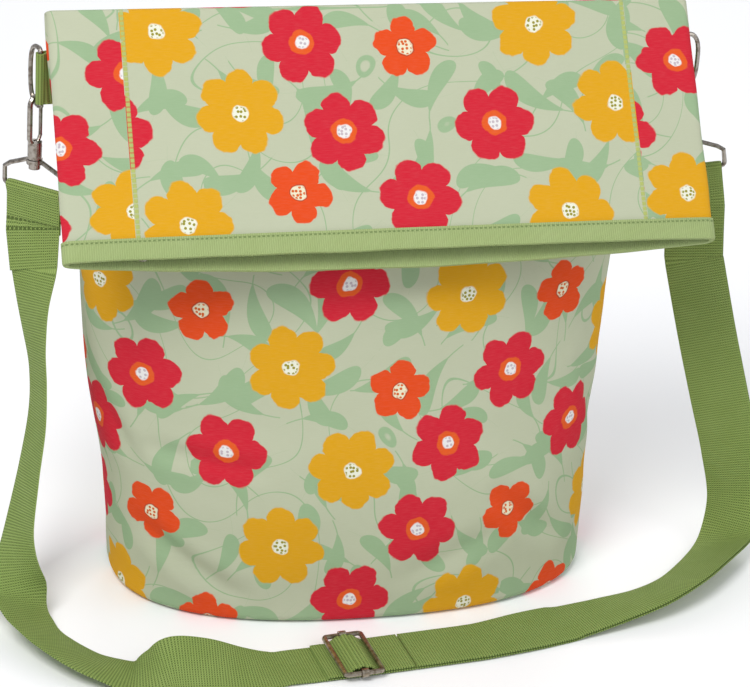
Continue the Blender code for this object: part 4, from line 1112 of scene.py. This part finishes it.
def ring_bow(angle):
    across = signed_power(math.cos(angle), 2 / BOW_SQUARENESS)
    up = signed_power(math.sin(angle), 2 / BOW_SQUARENESS)
    return (RING_CORNER + (RING_DEPTH - RING_CORNER) * across, 0.0, RING_HALF * up)


def hook_matrix(side):
    setting = SIDES[side]
    across = (HOOK_ON_RING - RING_CORNER) / (RING_DEPTH - RING_CORNER)
    contact = ring_matrix(side) @ Vector(ring_bow(-math.acos(across ** (BOW_SQUARENESS / 2))))
    tilt = Matrix.Rotation(math.radians(-setting["sign"] * setting["lean"]), 4, "Y")
    return Matrix.Translation(contact) @ tilt @ Matrix.Translation((0, 0, -hook_reach()))


def loop_matrix(side):
    return hook_matrix(side) @ Matrix.Rotation(math.radians(SIDES[side]["loop_turn"]), 4, "Z")


def rounded_line(points, steps):
    """Points along a smooth curve through the given ones."""
    line = []
    last = len(points) - 1
    for i in range(last):
        before, start, end, after = points[max(i - 1, 0)], points[i], points[i + 1], points[min(i + 2, last)]
        for k in range(steps):
            t = k / steps
            pull = (end - before) / 2 * (t**3 - 2 * t**2 + t) + (after - start) / 2 * (t**3 - t**2)
            line.append(start * (2 * t**3 - 3 * t**2 + 1) + end * (3 * t**2 - 2 * t**3) + pull)
    line.append(points[last])
    return line


ROUTE_STEPS = 8


def strap_route(route, side, layer_thickness):
    """Middle points and directions across, smoothed; the lower edge of each point is at its given height."""
    bar_height = (loop_matrix(side) @ Vector((0, 0, -LOOP_BAR_DROP))).z
    scale = Vector((FLAT_WIDTH / 2, BASE_DEPTH / 2, bar_height))
    across = [a.normalized() for a in rounded_line([Vector(a) for _, a in route], ROUTE_STEPS)]
    middles = rounded_line([Vector(p) * scale for p, _ in route], ROUTE_STEPS)
    placed = []
    for middle, side_way in zip(middles, across):
        upright = abs(side_way.z) * STRAP_WIDTH / 2
        lift = CLEARANCE + layer_thickness / 2 * math.sqrt(1 - side_way.z**2)
        placed.append(Vector((middle.x, middle.y, max(middle.z, 0.0) + upright + lift)))
    return placed, across


def webbing_faces(middles, across, offset):
    moved = []
    last = len(middles) - 1
    for i, (middle, side_way) in enumerate(zip(middles, across)):
        along = middles[min(i + 1, last)] - middles[max(i - 1, 0)]
        moved.append(middle + side_way.cross(along).normalized() * offset)
    return moved


ACROSS_PLACES = (-0.5, -0.47, -0.40, -0.25, 0.0, 0.25, 0.40, 0.47, 0.5)
ACROSS_FULLNESS = (0.45, 0.85, 1.0, 1.0, 1.0, 1.0, 1.0, 0.85, 0.45)


def webbing(name, middles, across, body, nodes, look):
    """A band of webbing along middles, its selvedges a little thinner than its middle."""
    count = len(ACROSS_PLACES)
    outer, inner = [[] for _ in range(count)], [[] for _ in range(count)]
    lengths = [0.0]
    last = len(middles) - 1
    for a, b in zip(middles, middles[1:]):
        lengths.append(lengths[-1] + (b - a).length)
    for i, (middle, side_way) in enumerate(zip(middles, across)):
        along = middles[min(i + 1, last)] - middles[max(i - 1, 0)]
        side_way = (side_way - along * side_way.dot(along) / along.length_squared).normalized()
        face = side_way.cross(along).normalized()
        for row, (place, fullness) in enumerate(zip(ACROSS_PLACES, ACROSS_FULLNESS)):
            point = middle + side_way * STRAP_WIDTH * place
            outer[row].append(point + face * STRAP / 2 * fullness)
            inner[row].append(point - face * STRAP / 2 * fullness)
    widths = [place * STRAP_WIDTH for place in ACROSS_PLACES]
    piece = closed_band(name, outer, inner, widths, lengths, look)
    if body:
        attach(piece, body)
    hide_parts(*nodes)
    return piece, lengths[-1]


def bar_wrap(side, facing, leaf):
    """The webbing's line over the loop's bar: up one face, over the bar, and down the other to leaf."""
    matrix = loop_matrix(side)
    radius = LOOP_WIRE + CLEARANCE + STRAP / 2
    close = (STRAP + CLEARANCE) / 2
    face = ((1.0, -leaf), (1.0, -leaf * 0.75), (1.0, -leaf / 2), (1.0, -0.0080), (1.25, -0.0050))
    flat = [(close * out, height) for out, height in face]
    for angle in range(-10, 191, 10):
        turn = math.radians(angle)
        flat.append((radius * math.cos(turn), radius * math.sin(turn)))
    flat += [(-close * out, height) for out, height in reversed(face)]
    return [matrix @ Vector((0, facing * y, z - LOOP_BAR_DROP)) for y, z in flat]


def bar_across(side):
    return (loop_matrix(side).to_quaternion() @ Vector((-SIDES[side]["sign"], 0, 0))).normalized()


def build_straps():
    """The strap's left part, its doubled right part, and the turn of webbing over the slider's bar."""
    wrap = bar_wrap("left", 1, SEWN_LENGTH)
    middles, across = strap_route(LEFT_ROUTE, "left", STRAP)
    middles.append(middles[-1] + (middles[-1] - middles[-2]).normalized() * STRAP_JOIN)
    across.append(across[-1])
    directions = [bar_across("left")] * len(wrap) + across
    line = wrap + middles
    left, left_length = webbing("strap_left_webbing", line, directions, "bag", ["strap_left"], SEWN_LOOK)
    pair = STRAP + CLEARANCE
    middles, across = strap_route(RIGHT_ROUTE, "right", STRAP + pair)
    wrap = bar_wrap("right", -1, SEWN_LENGTH)
    up = webbing_faces(middles, across, pair / 2)
    back = webbing_faces(middles, across, -pair / 2)
    directions = across + [bar_across("right")] * len(wrap) + across[::-1]
    line = up + wrap + back[::-1]
    right, right_length = webbing("strap_right_webbing", line, directions, "bag", ["strap_right"], WEBBING_LOOK)
    matrix = slider_matrix()
    over = SLIDER_WIRE + CLEARANCE + STRAP / 2
    lead = ((-HUMP_LENGTH, -over), (-0.0150, -over), (-0.0105, -over), (-0.0050, over * 0.55))
    flat = [Vector(p) for p in lead]
    for angle in range(150, 29, -20):
        turn = math.radians(angle)
        flat.append(Vector((over * math.cos(turn), over * math.sin(turn))))
    tail = ((0.0050, over * 0.55), (0.0105, -over), (0.0150, -over), (HUMP_LENGTH, -over), (TAIL_END, -over))
    flat += [Vector(p) for p in tail]
    side_way = matrix.to_quaternion() @ Vector((0, 1, 0))
    hump = [matrix @ Vector((p.x, 0, p.y)) for p in rounded_line(flat, 3)]
    directions = [side_way] * len(hump)
    piece, length = webbing("strap_slider_webbing", hump, directions, None, ["strap_over_slider"], WEBBING_LOOK)
    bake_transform(piece)


def slider_matrix():
    level = CLEARANCE + 2 * (STRAP + CLEARANCE) + SLIDER_WIRE
    across, out = SLIDER_POINT
    place = (across * FLAT_WIDTH / 2, out * BASE_DEPTH / 2, level)
    return Matrix.Translation(place) @ Matrix.Rotation(math.radians(SLIDER_HEADING), 4, "Z")


def build_tab(side):
    """A band of webbing round the ring's bar, its two leaves sewn one over the other behind the bag."""
    sign = SIDES[side]["sign"]
    bar = ring_matrix(side).translation
    leaf_one = -(2 * CLEARANCE + TAB / 2)
    leaf_two = -(3 * CLEARANCE + 1.5 * TAB)
    reach = TAB_REACH / GIRTH
    heights = [RING_Z + TAB_WIDTH * (i / 8 - 0.5) for i in range(9)]
    outer, inner = [], []
    for z in heights:
        sewn = [0.25 + reach * k for k in (1.0, 0.85, 0.7, 0.5, 0.33, 0.18)]
        row = [body_surface(z, sign * share, leaf_one) for share in sewn]
        for angle in range(225, 446, 10):
            turn = math.radians(angle)
            row.append(Vector((bar.x + sign * TAB_EYE * math.cos(turn), bar.y + TAB_EYE * math.sin(turn), z)))
        row += [body_surface(z, sign * (0.25 + reach * k), leaf_two) for k in (0.33, 0.5, 0.7, 0.85, 1.0)]
        normals = []
        for i in range(len(row)):
            along = row[min(i + 1, len(row) - 1)] - row[max(i - 1, 0)]
            normals.append(along.cross(Vector((0, 0, 1))).normalized())
        outer.append([p + n * TAB / 2 for p, n in zip(row, normals)])
        inner.append([p - n * TAB / 2 for p, n in zip(row, normals)])
        lengths = [0.0]
        for a, b in zip(row, row[1:]):
            lengths.append(lengths[-1] + (b - a).length)
    widths = [z - RING_Z for z in heights]
    piece = closed_band(f"ring_tab_{side}_webbing", outer, inner, widths, lengths, WEBBING_LOOK)
    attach(piece, "bag")
    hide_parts(f"ring_tab_{side}")


def dress_cad_nodes():
    """Each carried-over node takes its material by what it is."""
    for name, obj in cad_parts.items():
        if name.startswith("strap_slider"):
            look = SLIDER_LOOK
        elif name.startswith("zip_tape"):
            look = ZIP_TAPE_LOOK
        elif name == "base_board":
            look = BOARD_LOOK
        elif name.startswith(("d_ring", "hook", "gate", "strap_loop", "zip_")):
            look = NICKEL_LOOK
        else:
            look = LINING_LOOK
        for slot_place in obj.material_slots:
            slot_place.material = look


STITCHES_IN_FROM_SEAM = 0.0016
STITCH_LINE = BACK_PANEL_WIDTH / 2 - STITCHES_IN_FROM_SEAM
FLAP_SEAMS = (-STITCH_LINE, STITCH_LINE)
# Where the strap is sewn, as lengths along its webbing
SEWN_ROWS = (0.0040, 0.0085, 0.0555, 0.0600)
# Where each cloth is cut from the print, in mm
FRONT_CUT = (20.0, 15.0)
BACK_CUT = (95.0, 60.0)
add_camera()
add_studio()
WEBBING_LOOK = webbing_cloth("webbing_look")
SEWN_LOOK = webbing_cloth("sewn_webbing_look", SEWN_ROWS)
BINDING_LOOK = binding_cloth("binding_look", BINDING_HEIGHT)
FRONT_PRINT = print_cloth("front_print", FRONT_CUT)
BACK_PRINT = print_cloth("flap_print", BACK_CUT, FLAP_SEAMS)
LINING_LOOK = plain_cloth("lining_look", (0.50, 0.56, 0.42), (0.40, 0.46, 0.33), 0.7)
ZIP_TAPE_LOOK = plain_cloth("zip_tape_look", (0.26, 0.38, 0.12), (0.18, 0.27, 0.08), 0.5)
NICKEL_LOOK = plated_metal("nickel_look", (0.34, 0.31, 0.27), (0.17, 0.14, 0.11), 0.20)
SLIDER_LOOK = plated_metal("antique_nickel_look", (0.40, 0.35, 0.28), (0.20, 0.16, 0.11), 0.30)
BOARD_LOOK = board_plastic("board_look")
build_straps()
dress_cad_nodes()
build_cloth()
build_binding("front_rim_tape", -0.2497, 0.2497, "front_rim_binding")
build_binding("back_rim_tape", 0.2503, 0.7497, "back_rim_binding")
for side_name in SIDES:
    build_tab(side_name)
